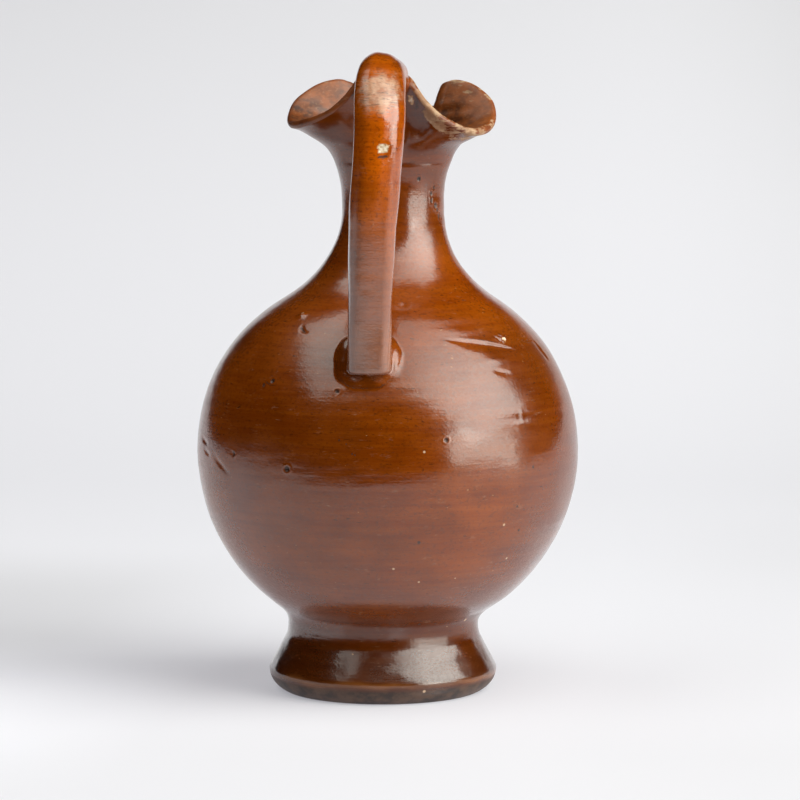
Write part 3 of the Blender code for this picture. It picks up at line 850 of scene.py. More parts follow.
def soften_seams(mesh, trees, blend, ranges):
    """Move the points near the seams onto a rounded union of the forms."""
    bm = bmesh.new()
    bm.from_mesh(mesh)
    bm.verts.ensure_lookup_table()

    def field(p, k):
        best = []
        for tree in trees:
            got = signed(tree, p, k + 1.5)
            if got is not None:
                best.append(got)
        best.sort(key=lambda g: g[0])
        return best

    near = set()
    for vert in bm.verts:
        k = blend(vert.co)
        if k <= 0.0:
            continue
        got = field(vert.co, k)
        if len(got) >= 2 and abs(got[1][0] - got[0][0]) < k:
            near.add(vert)
    # tidy the slivers that the cut leaves
    bmesh.ops.remove_doubles(bm, verts=list(near), dist=0.16)
    near = [v for v in near if v.is_valid]
    bmesh.ops.triangulate(bm, faces=list({f for v in near for f in v.link_faces if len(f.verts) > 4}))
    for step in range(ranges):
        if step % 2 == 0 and step < ranges - 1:
            moved = []
            for v in near:
                if len(v.link_edges):
                    c = Vector((0.0, 0.0, 0.0))
                    for e in v.link_edges:
                        c += e.other_vert(v).co
                    moved.append((v, v.co.lerp(c / len(v.link_edges), 0.5)))
            for v, c in moved:
                v.co = c
        for v in near:
            for _ in range(2):
                k = blend(v.co)
                got = field(v.co, k)
                if not got:
                    break
                d0, g0 = got[0]
                if len(got) >= 2 and abs(got[1][0] - d0) < k:
                    d1, g1 = got[1]
                    h = (k - abs(d1 - d0)) / k
                    value = d0 - h * h * k / 4.0
                    grad = g0 * (1.0 - h / 2.0) + g1 * (h / 2.0)
                else:
                    value, grad = d0, g0
                if grad.length > 0.2:
                    v.co -= grad.normalized() * max(min(value, 1.5), -1.5)
    bmesh.ops.recalc_face_normals(bm, faces=bm.faces)
    bm.to_mesh(mesh)
    bm.free()


def seam_width(p):
    """Size of the rounding (mm) where clay was luted on, by place."""
    if p.y > 10.0:
        return 0.0
    if 100.0 < p.z < 140.0:
        return 1.0
    if p.z > 185.0:
        return 2.2
    return 0.0


bm, la, lv = build_vessel()
refine(bm, la, lv)
bmesh.ops.recalc_face_normals(bm, faces=bm.faces)
vessel_form = mesh_from_bmesh(bm, "vessel_form")
handle_form = handle_mesh()
pad_form = pad_mesh()
print("forms", len(vessel_form.polygons), len(handle_form.polygons), len(pad_form.polygons))
forms = [tree_of(m) for m in (vessel_form, handle_form, pad_form)]
joined = union(vessel_form, handle_form, pad_form)
soften_seams(joined, forms, seam_width, 5)
print("layers", [a.name for a in joined.attributes])
joined.transform(Matrix.Scale(MM, 4))
joined.shade_smooth()
joined.name = "ewer_visual"
print("joined", len(joined.vertices), sum(len(p.vertices) - 2 for p in joined.polygons), "triangles")

def mend(mesh):
    """Take out the slivers that the union leaves across the hollow, and close the wall."""
    bm = bmesh.new()
    bm.from_mesh(mesh)
    stray = []
    for f in bm.faces:
        heights = [w.co.z for w in f.verts]
        if min(heights) > 0.095 and max(heights) < 0.130:
            c = f.calc_center_median()
            if (max(e.calc_length() for e in f.edges) > 0.007
                    or math.hypot(c.x - 0.0017, c.y) < 0.036 - max(c.z - 0.112, 0.0)):
                stray.append(f)
    bmesh.ops.delete(bm, geom=stray, context='FACES')
    alone = [f for f in bm.faces if all(len(e.link_faces) == 1 for e in f.edges)]
    bmesh.ops.delete(bm, geom=alone, context='FACES')
    rim = [e for e in bm.edges if len(e.link_faces) == 1]
    made = bmesh.ops.holes_fill(bm, edges=rim, sides=0)["faces"]
    bmesh.ops.triangulate(bm, faces=made)
    # loose flaps: two faces back to back on the same corners
    seen, flaps = {}, []
    for f in bm.faces:
        corners = frozenset(f.verts)
        if corners in seen:
            flaps += [f, seen[corners]]
        seen[corners] = f
    bmesh.ops.delete(bm, geom=flaps, context='FACES')
    bmesh.ops.delete(bm, geom=[e for e in bm.edges if not e.link_faces], context='EDGES')
    bmesh.ops.delete(bm, geom=[w for w in bm.verts if not w.link_faces], context='VERTS')
    print("mended", len(stray), len(alone), len(made), len(flaps), "open edges", sum(1 for e in bm.edges if len(e.link_faces) != 2))
    bm.to_mesh(mesh)
    bm.free()
    mesh.shade_smooth()


mend(joined)
ewer = bpy.data.objects.new("ewer_visual", joined)
bpy.context.scene.collection.objects.link(ewer)
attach(ewer, "root")
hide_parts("ewer")


# ----------------------------------------------------- where the surface differs
def paint(mesh, pad_tree, wall_tree):
    """Named point values (0 to 1, or a factor for "shade") for the glaze."""
    count = len(mesh.vertices)
    co = np.empty(count * 3)
    mesh.vertices.foreach_get("co", co)
    co = co.reshape(-1, 3) / MM
    v = np.empty(count)
    mesh.attributes["v"].data.foreach_get("value", v)
    x, y, z = co.T
    angle = np.degrees(np.arctan2(x - lean(z), -y))
    reach = np.hypot(x - lean(z), y)
    under = v < -0.5
    strap = (v >= 1999.0) & (v < 2500.0)
    pad = v >= 2500.0
    wall = (v >= -0.5) & (v < 899.0)
    lip = (v >= 899.0) & (v < 950.0)
    inner = (v >= 950.0) & (v < 1500.0)
    section = np.where(strap, v - 2000.0, 270.0)
    slow = WOBBLE(co)
    quick = UNEVEN(co * 1.7)

    # depth of colour and painted light and shade: darker towards the foot, painted light on the shoulder, painted
    # shade high on the neck, lighter amber on the handle where its coat is thin
    shade = np.interp(z, (0.0, 5.0, 12.0, 22.0, 30.0, 38.0, 50.0, 70.0, 118.0, 134.0, 152.0, 170.0, 180.0, 188.0, 200.0),
                      (0.34, 0.36, 0.34, 0.55, 0.70, 0.85, 1.0, 1.0, 1.0, 1.35, 1.25, 0.95, 0.85, 1.0, 1.0))
    # painted shade on the body's right edge, painted light on its left edge and its left shoulder
    shade *= 1.0 - 0.22 * smooth((x - 36.0) / 20.0) * smooth((z - 30.0) / 30.0)
    shade *= 1.0 + 0.15 * smooth((-x - 40.0) / 16.0)
    shade *= 1.0 + 0.35 * np.exp(-(((angle + 34.0) / 22.0) ** 2 + ((z - 122.0) / 14.0) ** 2))
    # the strap: lighter where its coat is thin, with painted shade on its left third and on its right side higher up
    on_strap = np.interp(z, (110.0, 135.0, 148.0, 160.0, 170.0, 185.0, 198.0, 207.0, 213.0), (1.0, 1.3, 1.4, 1.75, 2.2, 2.7, 2.7, 2.3, 1.9))
    on_strap = on_strap * (1.0 - 0.28 * smooth((4.5 - x) / 6.0)) * (1.0 - 0.30 * smooth((x - 8.8) / 2.5) * smooth((z - 158.0) / 10.0))
    # painted shade on the right of the neck and low on the flare
    shade = np.where(wall, shade * (1.0 - 0.24 * smooth((angle - 36.0) / 12.0) * smooth((z - 146.0) / 8.0) * smooth((182.0 - z) / 6.0)), shade)
    shade = np.where(wall, shade * (1.0 - 0.25 * smooth((z - 181.0) / 4.0)), shade)
    shade = np.where(strap, on_strap, shade)
    # the pad: painted shade on its left flank, lighter to the right
    shade = np.where(pad, 0.75 + 0.35 * smooth((x - 2.0) / 5.0), shade)
    shade *= 1.0 + 0.06 * slow + 0.04 * quick

    # bare worn clay, with painted light mixed in: a painted highlight on the rubbed arch, a pale film on the lower
    # strap that is partly a painted reflection of the floor, and painted highlight lines along the strap's edges
    rub = 0.5 + 0.28 * UNEVEN(co * 1.3) + 0.16 * FINE(co * 0.8)
    # the rubbed arch: worn, scratched glaze that also carries a painted highlight
    arch = smooth((1.55 - np.hypot((x - 6.3) / 6.4, (z - 203.8) / 6.4)) / 1.15) * smooth((-y - 46.0) / 6.0)
    thin = np.where(strap, arch, 0.0)
    # pale film on the lower strap, partly a painted reflection of the floor
    film_and_floor_sheen = np.where(strap, smooth((172.0 - z) / 24.0) * (0.85 + 0.15 * slow) * (1.0 + 0.5 * smooth((136.0 - z) / 10.0)), 0.0)
    # painted highlight lines along both outer edges of the strap, broken up like wear
    edge_sheen = np.where(strap, np.maximum(0.85 * bump(section, 12.0, 20.0), 0.72 * bump(section, 168.0, 20.0)), 0.0)
    wear_and_edge_sheen = edge_sheen * 0.56 * smooth((z - 112.0) / 6.0)
    band = np.where(lip, 1.0, 0.0)
    wear_and_edge_sheen = np.maximum(wear_and_edge_sheen, band * (0.38 + 0.5 * rub) * (0.55 + 0.50 * smooth((angle + 5.0) / 30.0)))
    top = np.interp(angle, RIM_ANGLES, RIM_VALUES[:, 1])
    below = np.where(wall & (v > PROFILE_END), top - z, 99.0)
    wear_and_edge_sheen = np.maximum(wear_and_edge_sheen, np.where(wall, smooth((3.4 - below) / 1.8) * (0.50 + 0.45 * rub)
                                     * smooth((angle - 22.0) / 8.0) * smooth((84.0 - angle) / 12.0), 0.0))
    inside_edge = np.where(inner, smooth((2.4 - (top - z)) / 2.0) * (0.15 + 0.55 * rub) * (0.5 + 0.5 * smooth(angle / 30.0)), 0.0)
    wear_and_edge_sheen = np.maximum(wear_and_edge_sheen, inside_edge)
    wear_and_edge_sheen = np.maximum(wear_and_edge_sheen, np.where(wall & (y < 0.0), (0.60 + 0.4 * rub) * np.exp(-((x - 22.5) / 3.6) ** 2 - ((z - 194.8 + 0.5 * (x - 22.5)) / 1.5) ** 2), 0.0))
    wear_and_edge_sheen = np.where(under, 1.0, wear_and_edge_sheen)
    # torn chips: cream body showing
    chip = np.where(strap, smooth(2.0 - 1.25 * ((np.abs(x - 8.0) / 1.5) ** 3 + (np.abs(z - 186.4) / 1.35) ** 3) ** (1.0 / 3.0))
                    * (y < -66.0), 0.0)
    chip = np.maximum(chip, np.where(~inner, 0.95 * np.exp(-((x - 12.1) / 1.7) ** 2 - ((z - 201.0) / 2.0) ** 2)
                                     * (0.8 + 0.35 * FINE(co * 1.4)) * (y < -22.0)
                                     * (z < 205.5) * (reach > 24.0) * (y > -34.0), 0.0))
    chip = np.maximum(chip, np.where(wall, 0.58 * np.exp(-((angle - 55.8) / 2.4) ** 2 - ((z - 122.6) / 2.0) ** 2)
                                     * (1.0 + 0.55 * FINE(co * 1.3)), 0.0))
    # painted shade in creases, grooves and pits: where the strap and pad sit on the wall, at the handle's root and
    # along knocks and scars, with a few real marks among them
    crease_shade_and_marks = np.zeros(count)
    for i in np.flatnonzero((y < -30.0) & (z > 100.0) & (z < 140.0) & (np.abs(x) < 16.0) & (wall | pad)):
        p = Vector(co[i])
        _, _, _, gap = (pad_tree if wall[i] else wall_tree).find_nearest(p, 2.5)
        if gap is not None:
            crease_shade_and_marks[i] = float(smooth((0.9 - gap) / 0.8)) * (0.42 if z[i] < 128.0 else 0.35)
    # painted shade in the crevices where the handle's root meets the rim
    root = np.where(wall & (z > 190.0) & (np.abs(angle) < 30.0), 0.55 * np.exp(-((angle - 22.3) / 1.5) ** 2)
                    + 0.8 * np.exp(-((angle + 19.5) / 2.0) ** 2), 0.0)
    crease_shade_and_marks = np.maximum(crease_shade_and_marks, root * smooth((z - 196.0) / 3.0))
    # painted shade in the turned groove low on the flare
    crease_shade_and_marks = np.maximum(crease_shade_and_marks, np.where(wall, 0.4 * np.exp(-((z - 180.0) / 0.55) ** 2) * smooth((angle + 10.0) / 10.0)
                                     * smooth((58.0 - angle) / 8.0), 0.0))
    # painted shade in the V cut under the chip on the strap
    crease_shade_and_marks = np.maximum(crease_shade_and_marks, np.where(strap & (y < -66.0), 1.0 * smooth(1.9 - np.hypot((x - 7.8) / 1.1, (z - 183.4 - 0.3 * np.abs(x - 7.8)) / 0.32)), 0.0))
    # painted shade in the pits; a few are real darker marks
    for at, wide, deep in PITS:
        near = wall & (np.abs(z - at[1]) < 4.0)
        sx, sy = local(angle, z, *at)
        crease_shade_and_marks = np.maximum(crease_shade_and_marks, np.where(near, 0.85 * smooth(1.5 - np.hypot(sx, sy) / wide), 0.0))
    # painted shade along the knocks, the hooked scratch, beside the weal and in the scar, and one real reddish mark
    for a0, z0, turn, long, fine, strong in ((72.5, 120.9, -10.0, 6.0, 0.3, 0.7), (78.6, 117.4, -78.0, 4.0, 0.4, 0.7),
                                             (-31.0, 125.6, -38.0, 2.2, 0.6, 0.8), (-35.6, 108.8, -20.0, 2.4, 0.35, 0.6),
                                             (49.4, 98.0, 88.0, 2.0, 0.4, 0.35), (44.0, 122.6, -12.0, 9.0, 0.3, 0.55)):
        sx, sy = local(angle, z, a0, z0, turn)
        crease_shade_and_marks = np.maximum(crease_shade_and_marks, np.where(wall, strong * np.exp(-(sx / long) ** 4 - (sy / fine) ** 2), 0.0))
    # gloss of the upper coat, dullness of the mouth and of the bevel under the foot
    gloss = np.interp(z, (0.0, 5.5, 9.0, 26.0, 34.0, 128.0, 150.0, 172.0, 182.0, 188.0), (0.0, 0.05, 1.0, 1.0, 0.55, 0.55, 0.9, 0.8, 0.2, 0.0))
    gloss *= 1.0 - 0.75 * np.where(z > 140.0, smooth((angle - 38.0) / 22.0), 0.0)
    on_strap = np.interp(z, (140.0, 160.0, 178.0, 195.0), (1.0, 0.7, 0.6, 0.7)) + 0.25 * smooth((x - 8.0) / 1.5) * smooth((z - 176.0) / 8.0)
    on_strap = on_strap * (1.0 - 0.6 * smooth((z - 200.0) / 4.0) * np.maximum(smooth((x - 10.5) / 2.0), smooth((5.5 - x) / 2.5)))
    gloss = np.where(strap, on_strap, gloss)
    gloss = np.where(wall & (z > 60.0) & (z < 120.0), gloss * (1.0 - 0.55 * smooth((x - 52.0) / 9.0) - 0.3 * smooth((-x - 50.0) / 8.0)), gloss)
    gloss = np.where(wall & (z < 26.0), gloss * (1.0 - 0.8 * smooth((angle + 21.0) / 6.0) * smooth((2.0 + 11.0 * smooth((z - 12.5) / 2.0) - angle) / 6.0)), gloss)
    gloss = np.where(wall & (z < 28.0), gloss * (1.0 - 0.75 * smooth((z - 17.0) / 2.5) * smooth((angle - 15.0) / 8.0)), gloss)
    low = np.exp(-((angle - 34.0) / 11.0) ** 2) * smooth((z - 2.8) / 1.0) * smooth((10.0 - z) / 2.5)
    gloss = np.where(wall, np.maximum(gloss, 1.1 * low), gloss)
    dull = np.where(inner, np.where(angle > 0.0, 0.35, 0.6) + 0.15 * slow, 0.0) + np.where(lip, 0.5, 0.0)
    dull = np.maximum(dull, np.where(wall, 0.7 * smooth((6.2 - z) / 1.6) * (1.0 - 0.7 * low), 0.0))
    mouth = np.where(inner & (z > 150.0), 1.0, 0.0) + np.where(lip, 0.5, 0.0)
    # the bevel under the foot darker and grey-brown
    dark_bevel = np.where(wall, smooth((5.8 - z) / 1.4), 0.0)
    # a lighter line along the ring's edge: thin glaze, and a painted highlight on the outermost edge
    thin_glaze_lit_edge = np.where(wall, np.exp(-((z - 6.7 - 0.35 * quick) / 0.85) ** 2), 0.0)
    for name, values in (("shade", shade), ("wear_and_edge_sheen", wear_and_edge_sheen), ("thin", thin), ("film_and_floor_sheen", film_and_floor_sheen), ("chip", chip), ("crease_shade_and_marks", crease_shade_and_marks), ("gloss", gloss),
                         ("dull", dull), ("mouth", mouth), ("dark_bevel", dark_bevel), ("thin_glaze_lit_edge", thin_glaze_lit_edge)):
        layer = mesh.attributes.new(name, 'FLOAT', 'POINT')
        layer.data.foreach_set("value", np.clip(values, 0.0, 3.0).astype(float))


paint(joined, forms[2], forms[0])


# ------------------------------------------------------------------ materials
def nodes_of(mat):
    mat.use_nodes = True
    return mat.node_tree.nodes, mat.node_tree.links


class Graph:
    """Short names for the shader nodes that are used again and again."""

    def __init__(self, mat):
        self.n, self.l = nodes_of(mat)
        self.place = self.n.new("ShaderNodeTexCoord").outputs["Object"]

    def put(self, socket, value):
        if isinstance(value, bpy.types.NodeSocket):
            self.l.new(value, socket)
        else:
            socket.default_value = value

    def math(self, kind, a, b=0.0, c=0.0):
        node = self.n.new("ShaderNodeMath")
        node.operation = kind
        for socket, value in zip(node.inputs, (a, b, c)):
            self.put(socket, value)
        return node.outputs[0]

    def add(self, a, b):
        return self.math('ADD', a, b)

    def mul(self, a, b):
        return self.math('MULTIPLY', a, b)

    def most(self, a, b):
        return self.math('MAXIMUM', a, b)

    def step(self, value, low, high, to_low=0.0, to_high=1.0):
        """Smooth rise of value from low to high."""
        node = self.n.new("ShaderNodeMapRange")
        node.interpolation_type = 'SMOOTHSTEP'
        for socket, x in zip(node.inputs, (value, low, high, to_low, to_high)):
            self.put(socket, x)
        return node.outputs[0]

    def point(self, name):
        node = self.n.new("ShaderNodeAttribute")
        node.attribute_name = name
        return node.outputs["Fac"]

    def noise(self, scale, detail=3.0, rough=0.55, shift=0.0, distortion=0.0):
        """Noise; scale is per metre along x, y and z."""
        mapping = self.n.new("ShaderNodeMapping")
        mapping.inputs["Scale"].default_value = scale
        mapping.inputs["Location"].default_value = (shift, shift * 0.7, -shift)
        self.l.new(self.place, mapping.inputs["Vector"])
        node = self.n.new("ShaderNodeTexNoise")
        node.inputs["Scale"].default_value = 1.0
        node.inputs["Detail"].default_value = detail
        node.inputs["Roughness"].default_value = rough
        node.inputs["Distortion"].default_value = distortion
        self.l.new(mapping.outputs[0], node.inputs["Vector"])
        return node.outputs["Fac"]

    def mix(self, factor, a, b, kind='MIX'):
        node = self.n.new("ShaderNodeMix")
        node.data_type = 'RGBA'
        node.blend_type = kind
        self.put(node.inputs["Factor"], factor)
        for name, value in (("A", a), ("B", b)):
            socket = [x for x in node.inputs if x.name == name and x.type == 'RGBA'][0]
            self.put(socket, value if isinstance(value, bpy.types.NodeSocket) else (*value, 1.0))
        return [x for x in node.outputs if x.type == 'RGBA'][0]

    def grey(self, value):
        node = self.n.new("ShaderNodeCombineColor")
        for socket in node.inputs[:3]:
            self.l.new(value, socket)
        return node.outputs[0]

    def spot(self, at, radius):
        """1 within `radius` (mm) of a point of the wall (angle, height)."""
        run = run_at(at[1]) if at[1] < NECK_TOP else PROFILE_END
        p = outside(np.array([at[0]]), np.array([run]))[0]
        node = self.n.new("ShaderNodeVectorMath")
        node.operation = 'DISTANCE'
        self.l.new(self.place, node.inputs[0])
        node.inputs[1].default_value = [float(c) * MM for c in p]
        return self.step(node.outputs["Value"], radius * 1.35 * MM, radius * 0.65 * MM)


# pale specks, and one painted glint on the lump beside the handle's foot at (-38.0, 130.6)
PALE_SPECKS_AND_GLINT = (
    # (angle, height), radius
    ((44.3, 62.6), 0.45), ((8.1, 49.0), 0.4), ((17.4, 44.1), 0.4), ((30.9, 44.9), 0.35),
    ((50.8, 50.1), 0.4), ((16.7, 88.3), 0.4), ((-38.0, 130.6), 0.5), ((27.2, 4.8), 0.5), ((59.9, 26.4), 0.6),
)
DARK_SPOTS = (
    ((53.4, 81.1), 0.6), ((48.2, 68.5), 0.5), ((15.9, 58.2), 0.55), ((51.4, 60.0), 0.5), ((-8.1, 92.0), 0.45),
    ((-5.9, 90.8), 0.35), ((-4.1, 87.6), 0.4), ((-3.3, 87.3), 0.35), ((26.0, 26.9), 0.5), ((34.9, 174.7), 0.7),
)


def glaze_material():
    mat = bpy.data.materials.new("amber_glaze")
    g = Graph(mat)
    shader = g.n["Principled BSDF"]
    streak = g.noise((28.0, 28.0, 620.0), 4.0, 0.6, 3.0)
    thread = g.noise((110.0, 110.0, 1500.0), 3.0, 0.6, 9.0)
    cloud = g.noise((46.0, 46.0, 70.0), 4.0, 0.6, 21.0)
    grain = g.noise((900.0, 900.0, 1300.0), 2.0, 0.5, 31.0)
    fleck = g.noise((330.0, 330.0, 1500.0), 1.0, 0.5, 41.0)
    bright = g.noise((520.0, 520.0, 900.0), 1.0, 0.5, 51.0)
    coarse = g.noise((240.0, 240.0, 300.0), 3.0, 0.6, 61.0)
    speckle = g.noise((1900.0, 1900.0, 2300.0), 1.0, 0.5, 81.0)
    scratch = g.noise((330.0, 330.0, 2300.0), 2.0, 0.55, 71.0, 0.6)

    # amber: deeper where the coat pooled, golden where it's thin
    pooled = g.add(g.mul(g.step(cloud, 0.30, 0.72), 0.45), g.mul(g.step(streak, 0.32, 0.70), 0.40))
    pooled = g.add(pooled, g.mul(g.step(thread, 0.35, 0.68), 0.15))
    colour = g.mix(pooled, (0.150, 0.024, 0.0), (0.252, 0.053, 0.0004))
    # times the shade factor: painted light and shade by place, darker towards the foot
    colour = g.mix(1.0, colour, g.grey(g.point("shade")), 'MULTIPLY')
    colour = g.mix(g.mul(g.step(grain, 0.52, 0.68), 0.36), colour, (0.07, 0.016, 0.001))
    # iron flecks, drawn out sideways, and pale ones
    colour = g.mix(g.mul(g.step(fleck, 0.715, 0.76), 0.6), colour, (0.030, 0.008, 0.001))
    colour = g.mix(g.mul(g.step(bright, 0.775, 0.81), 0.6), colour, (0.45, 0.22, 0.09))
    # coat rubbed thin on the arch and lightened there as a painted highlight, with short scratches across the strap
    rubbed_and_sheen = g.step(g.add(g.point("thin"), g.add(g.mul(g.add(coarse, -0.5), 1.1), g.mul(g.add(scratch, -0.5), 1.0))), 0.15, 1.05)
    colour = g.mix(g.mul(rubbed_and_sheen, 0.72), colour, g.mix(g.step(coarse, 0.36, 0.62), (0.36, 0.19, 0.10), (0.60, 0.40, 0.26)))
    lines = g.mul(g.step(scratch, 0.56, 0.66), g.step(g.point("thin"), 0.1, 0.6))
    colour = g.mix(g.mul(lines, 0.7), colour, (0.10, 0.032, 0.010))
    # pale film over the lower strap, partly a painted reflection of the floor
    colour = g.mix(g.mul(g.point("film_and_floor_sheen"), 0.17), colour, (0.60, 0.42, 0.34))
    # mouth: rough brown and orange patches
    patches = g.add(g.mul(g.step(cloud, 0.38, 0.62), 0.55), g.mul(g.step(coarse, 0.40, 0.62), 0.45))
    inside = g.mix(patches, (0.070, 0.020, 0.006), (0.33, 0.088, 0.013))
    inside = g.mix(g.mul(g.step(grain, 0.58, 0.68), 0.30), inside, (0.40, 0.19, 0.085))
    colour = g.mix(g.math('MINIMUM', g.point("mouth"), 1.0), colour, inside)
    # the bevel under the foot, darker and grey-brown, and a lighter amber line along the ring's edge: thin glaze with
    # a painted highlight on the outermost edge
    colour = g.mix(g.mul(g.point("dark_bevel"), 0.9), colour, g.mix(g.step(coarse, 0.35, 0.65), (0.022, 0.010, 0.005), (0.095, 0.048, 0.026)))
    colour = g.mix(g.mul(g.point("thin_glaze_lit_edge"), g.step(cloud, 0.35, 0.6, 0.3, 0.95)), colour, (0.20, 0.066, 0.014))
    # worn places, and painted highlight lines along the strap's edges
    ragged = g.add(g.add(g.point("wear_and_edge_sheen"), g.mul(g.add(thread, -0.5), 0.55)), g.mul(g.add(grain, -0.5), 0.55))
    bare_and_edge_sheen = g.step(ragged, 0.50, 0.70)
    worn_and_sheen_colour = g.mix(g.step(coarse, 0.36, 0.64), (0.34, 0.175, 0.085), (0.55, 0.37, 0.22))
    worn_and_sheen_colour = g.mix(g.mul(g.step(grain, 0.54, 0.66), 0.4), worn_and_sheen_colour, (0.24, 0.115, 0.05))
    colour = g.mix(g.mul(bare_and_edge_sheen, 0.92), colour, worn_and_sheen_colour)
    # scars: torn chips of cream clay, and painted shade in creases, grooves and pits
    torn = g.step(g.add(g.point("chip"), g.mul(g.add(grain, -0.5), 0.9)), 0.42, 0.62)
    cream = g.mix(g.step(grain, 0.40, 0.60), (0.55, 0.38, 0.22), (0.86, 0.74, 0.58))
    cream = g.mix(g.step(g.point("chip"), 0.60, 0.85), g.mix(g.step(grain, 0.42, 0.62), (0.30, 0.12, 0.03), (0.70, 0.42, 0.20)), cream)
    colour = g.mix(torn, colour, cream)
    shaded = g.step(g.add(g.point("crease_shade_and_marks"), g.mul(g.add(grain, -0.5), 0.5)), 0.15, 0.75)
    colour = g.mix(g.mul(shaded, 0.88), colour, (0.028, 0.009, 0.004))
    pale_specks_and_glint = dark_spots = 0.0
    for at, radius in PALE_SPECKS_AND_GLINT:
        pale_specks_and_glint = g.most(pale_specks_and_glint, g.spot(at, radius))
    for at, radius in DARK_SPOTS:
        dark_spots = g.most(dark_spots, g.spot(at, radius))
    # pale specks, one of them a painted glint
    colour = g.mix(g.mul(pale_specks_and_glint, 0.9), colour, (0.62, 0.42, 0.26))
    colour = g.mix(g.mul(dark_spots, 0.85), colour, (0.02, 0.008, 0.004))
    g.l.new(colour, shader.inputs["Base Color"])

    plain = g.most(g.most(bare_and_edge_sheen, torn), g.math('MINIMUM', g.point("dull"), 1.0))
    rough = g.add(g.step(cloud, 0.30, 0.70, 0.17, 0.25), g.mul(g.add(thread, -0.5), 0.10))
    rough = g.add(rough, g.add(g.mul(plain, 0.42), g.mul(rubbed_and_sheen, 0.16)))
    rough = g.add(rough, g.mul(g.most(shaded, dark_spots), 0.2))
    g.l.new(rough, shader.inputs["Roughness"])
    shader.inputs["IOR"].default_value = 1.55
    coat = g.mul(g.point("gloss"), g.math('SUBTRACT', 1.0, g.math('MINIMUM', g.add(plain, shaded), 1.0)))
    coat = g.mul(coat, g.mul(g.step(grain, 0.30, 0.70, 0.70, 1.20), g.step(speckle, 0.30, 0.70, 0.70, 1.20)))
    g.l.new(g.math('MINIMUM', coat, 1.0), shader.inputs["Coat Weight"])
    shader.inputs["Coat Roughness"].default_value = 0.12

    # hair-fine turning lines and orange-peel of the glaze
    height = g.add(g.mul(streak, 0.5), g.add(g.mul(thread, 0.40), g.add(g.mul(grain, 0.7), g.mul(coarse, 0.8))))
    height = g.add(height, g.mul(bare_and_edge_sheen, -0.5))
    rise = g.n.new("ShaderNodeBump")
    rise.inputs["Strength"].default_value = 0.35
    rise.inputs["Distance"].default_value = 0.00014
    g.l.new(height, rise.inputs["Height"])
    g.l.new(rise.outputs[0], shader.inputs["Normal"])
    g.l.new(rise.outputs[0], shader.inputs["Coat Normal"])
    return mat


for slot in list(joined.materials):
    joined.materials.pop()
joined.materials.append(glaze_material())

# --------------------------------------------------------------------- studio
AZIMUTH = 6.0            # camera stands this far round to the +X side of -Y


def turned(azimuth, elevation):
    """Unit vector: azimuth from the camera's side towards its right."""
    a, e = math.radians(azimuth), math.radians(elevation)
    x, y, z = math.sin(a) * math.cos(e), -math.cos(a) * math.cos(e), math.sin(e)
    c, s = math.cos(math.radians(AZIMUTH)), math.sin(math.radians(AZIMUTH))
    return Vector((x * c - y * s, x * s + y * c, z))


def softbox(name, azimuth, elevation, roll, across, along, radiance, distance=2.0, colour=(1.0, 1.0, 0.93), ramp=None, hot=(0.5, 0.5)):
    """Rectangular light facing the pot. `across` and `along` are its edges in
    tangents from the aimed direction; `ramp` grades it from bottom to top."""
    light = bpy.data.lights.new(name, 'AREA')
    light.shape = 'RECTANGLE'
    light.size = (across[1] - across[0]) * distance
    light.size_y = (along[1] - along[0]) * distance
    light.energy = radiance * math.pi * light.size * light.size_y
    light.color = colour
    ob = bpy.data.objects.new(name, light)
    bpy.context.scene.collection.objects.link(ob)
    away = turned(azimuth, elevation)
    target = Vector((0.0, 0.0, 0.11))
    u = Vector((0, 0, 1)).cross(away).normalized()
    v = away.cross(u)
    r = math.radians(roll)
    uu, vv = u * math.cos(r) + v * math.sin(r), -u * math.sin(r) + v * math.cos(r)
    m = Matrix((uu, vv, away)).transposed().to_4x4()
    m.translation = target + (away + uu * sum(across) / 2 + vv * sum(along) / 2) * distance
    ob.matrix_world = m
    if ramp:
        # brightest at `hot` (0 to 1 across and along), weaker away from it
        light.use_nodes = True
        tree = light.node_tree
        emission = tree.nodes["Emission"]
        place = tree.nodes.new("ShaderNodeNewGeometry")
        size = Vector((across[1] - across[0], along[1] - along[0], 0.0))
        scaled = tree.nodes.new("ShaderNodeVectorMath")
        scaled.operation = 'MULTIPLY'
        scaled.inputs[1].default_value = size
        away_from = tree.nodes.new("ShaderNodeVectorMath")
        away_from.operation = 'DISTANCE'
        away_from.inputs[1].default_value = (hot[0] * size.x, hot[1] * size.y, 0.0)
        grade = tree.nodes.new("ShaderNodeValToRGB")
        tree.links.new(place.outputs["Parametric"], scaled.inputs[0])
        tree.links.new(scaled.outputs[0], away_from.inputs[0])
        tree.links.new(away_from.outputs["Value"], grade.inputs[0])
        tree.links.new(grade.outputs[0], emission.inputs["Strength"])
        stops = grade.color_ramp.elements
        while len(stops) < len(ramp):
            stops.new(0.5)
        for stop, (at, value) in zip(stops, ramp):
            stop.position = at
            stop.color = (value, value, value, 1.0)
    return ob


softbox("key", 60.0, 45.0, 20.0, (-0.52, 0.56), (-0.72, 1.02), 5.2, hot=(0.47, 0.2),
        ramp=((0.0, 1.0), (0.2, 0.97), (0.4, 0.86), (0.6, 0.66), (0.8, 0.46), (1.0, 0.33)))
softbox("key_low", 62.0, 6.5, 0.0, (-0.46, 0.36), (-0.22, 0.06), 4.4, colour=(1.0, 0.99, 0.90))
softbox("left_top", -78.0, 55.0, -24.0, (-0.57, 0.60), (-0.115, 0.29), 2.3, hot=(0.4, 1.0),
        ramp=((0.0, 1.0), (0.25, 1.0), (0.5, 0.72), (0.75, 0.80), (1.0, 0.80)))
softbox("key_side", 62.0, 6.5, 0.0, (-0.46, -0.20), (0.06, 0.17), 4.0, colour=(1.0, 0.99, 0.90))
softbox("gap", -8.0, 39.5, 0.0, (-0.45, 0.45), (-0.03, 0.03), 0.6)

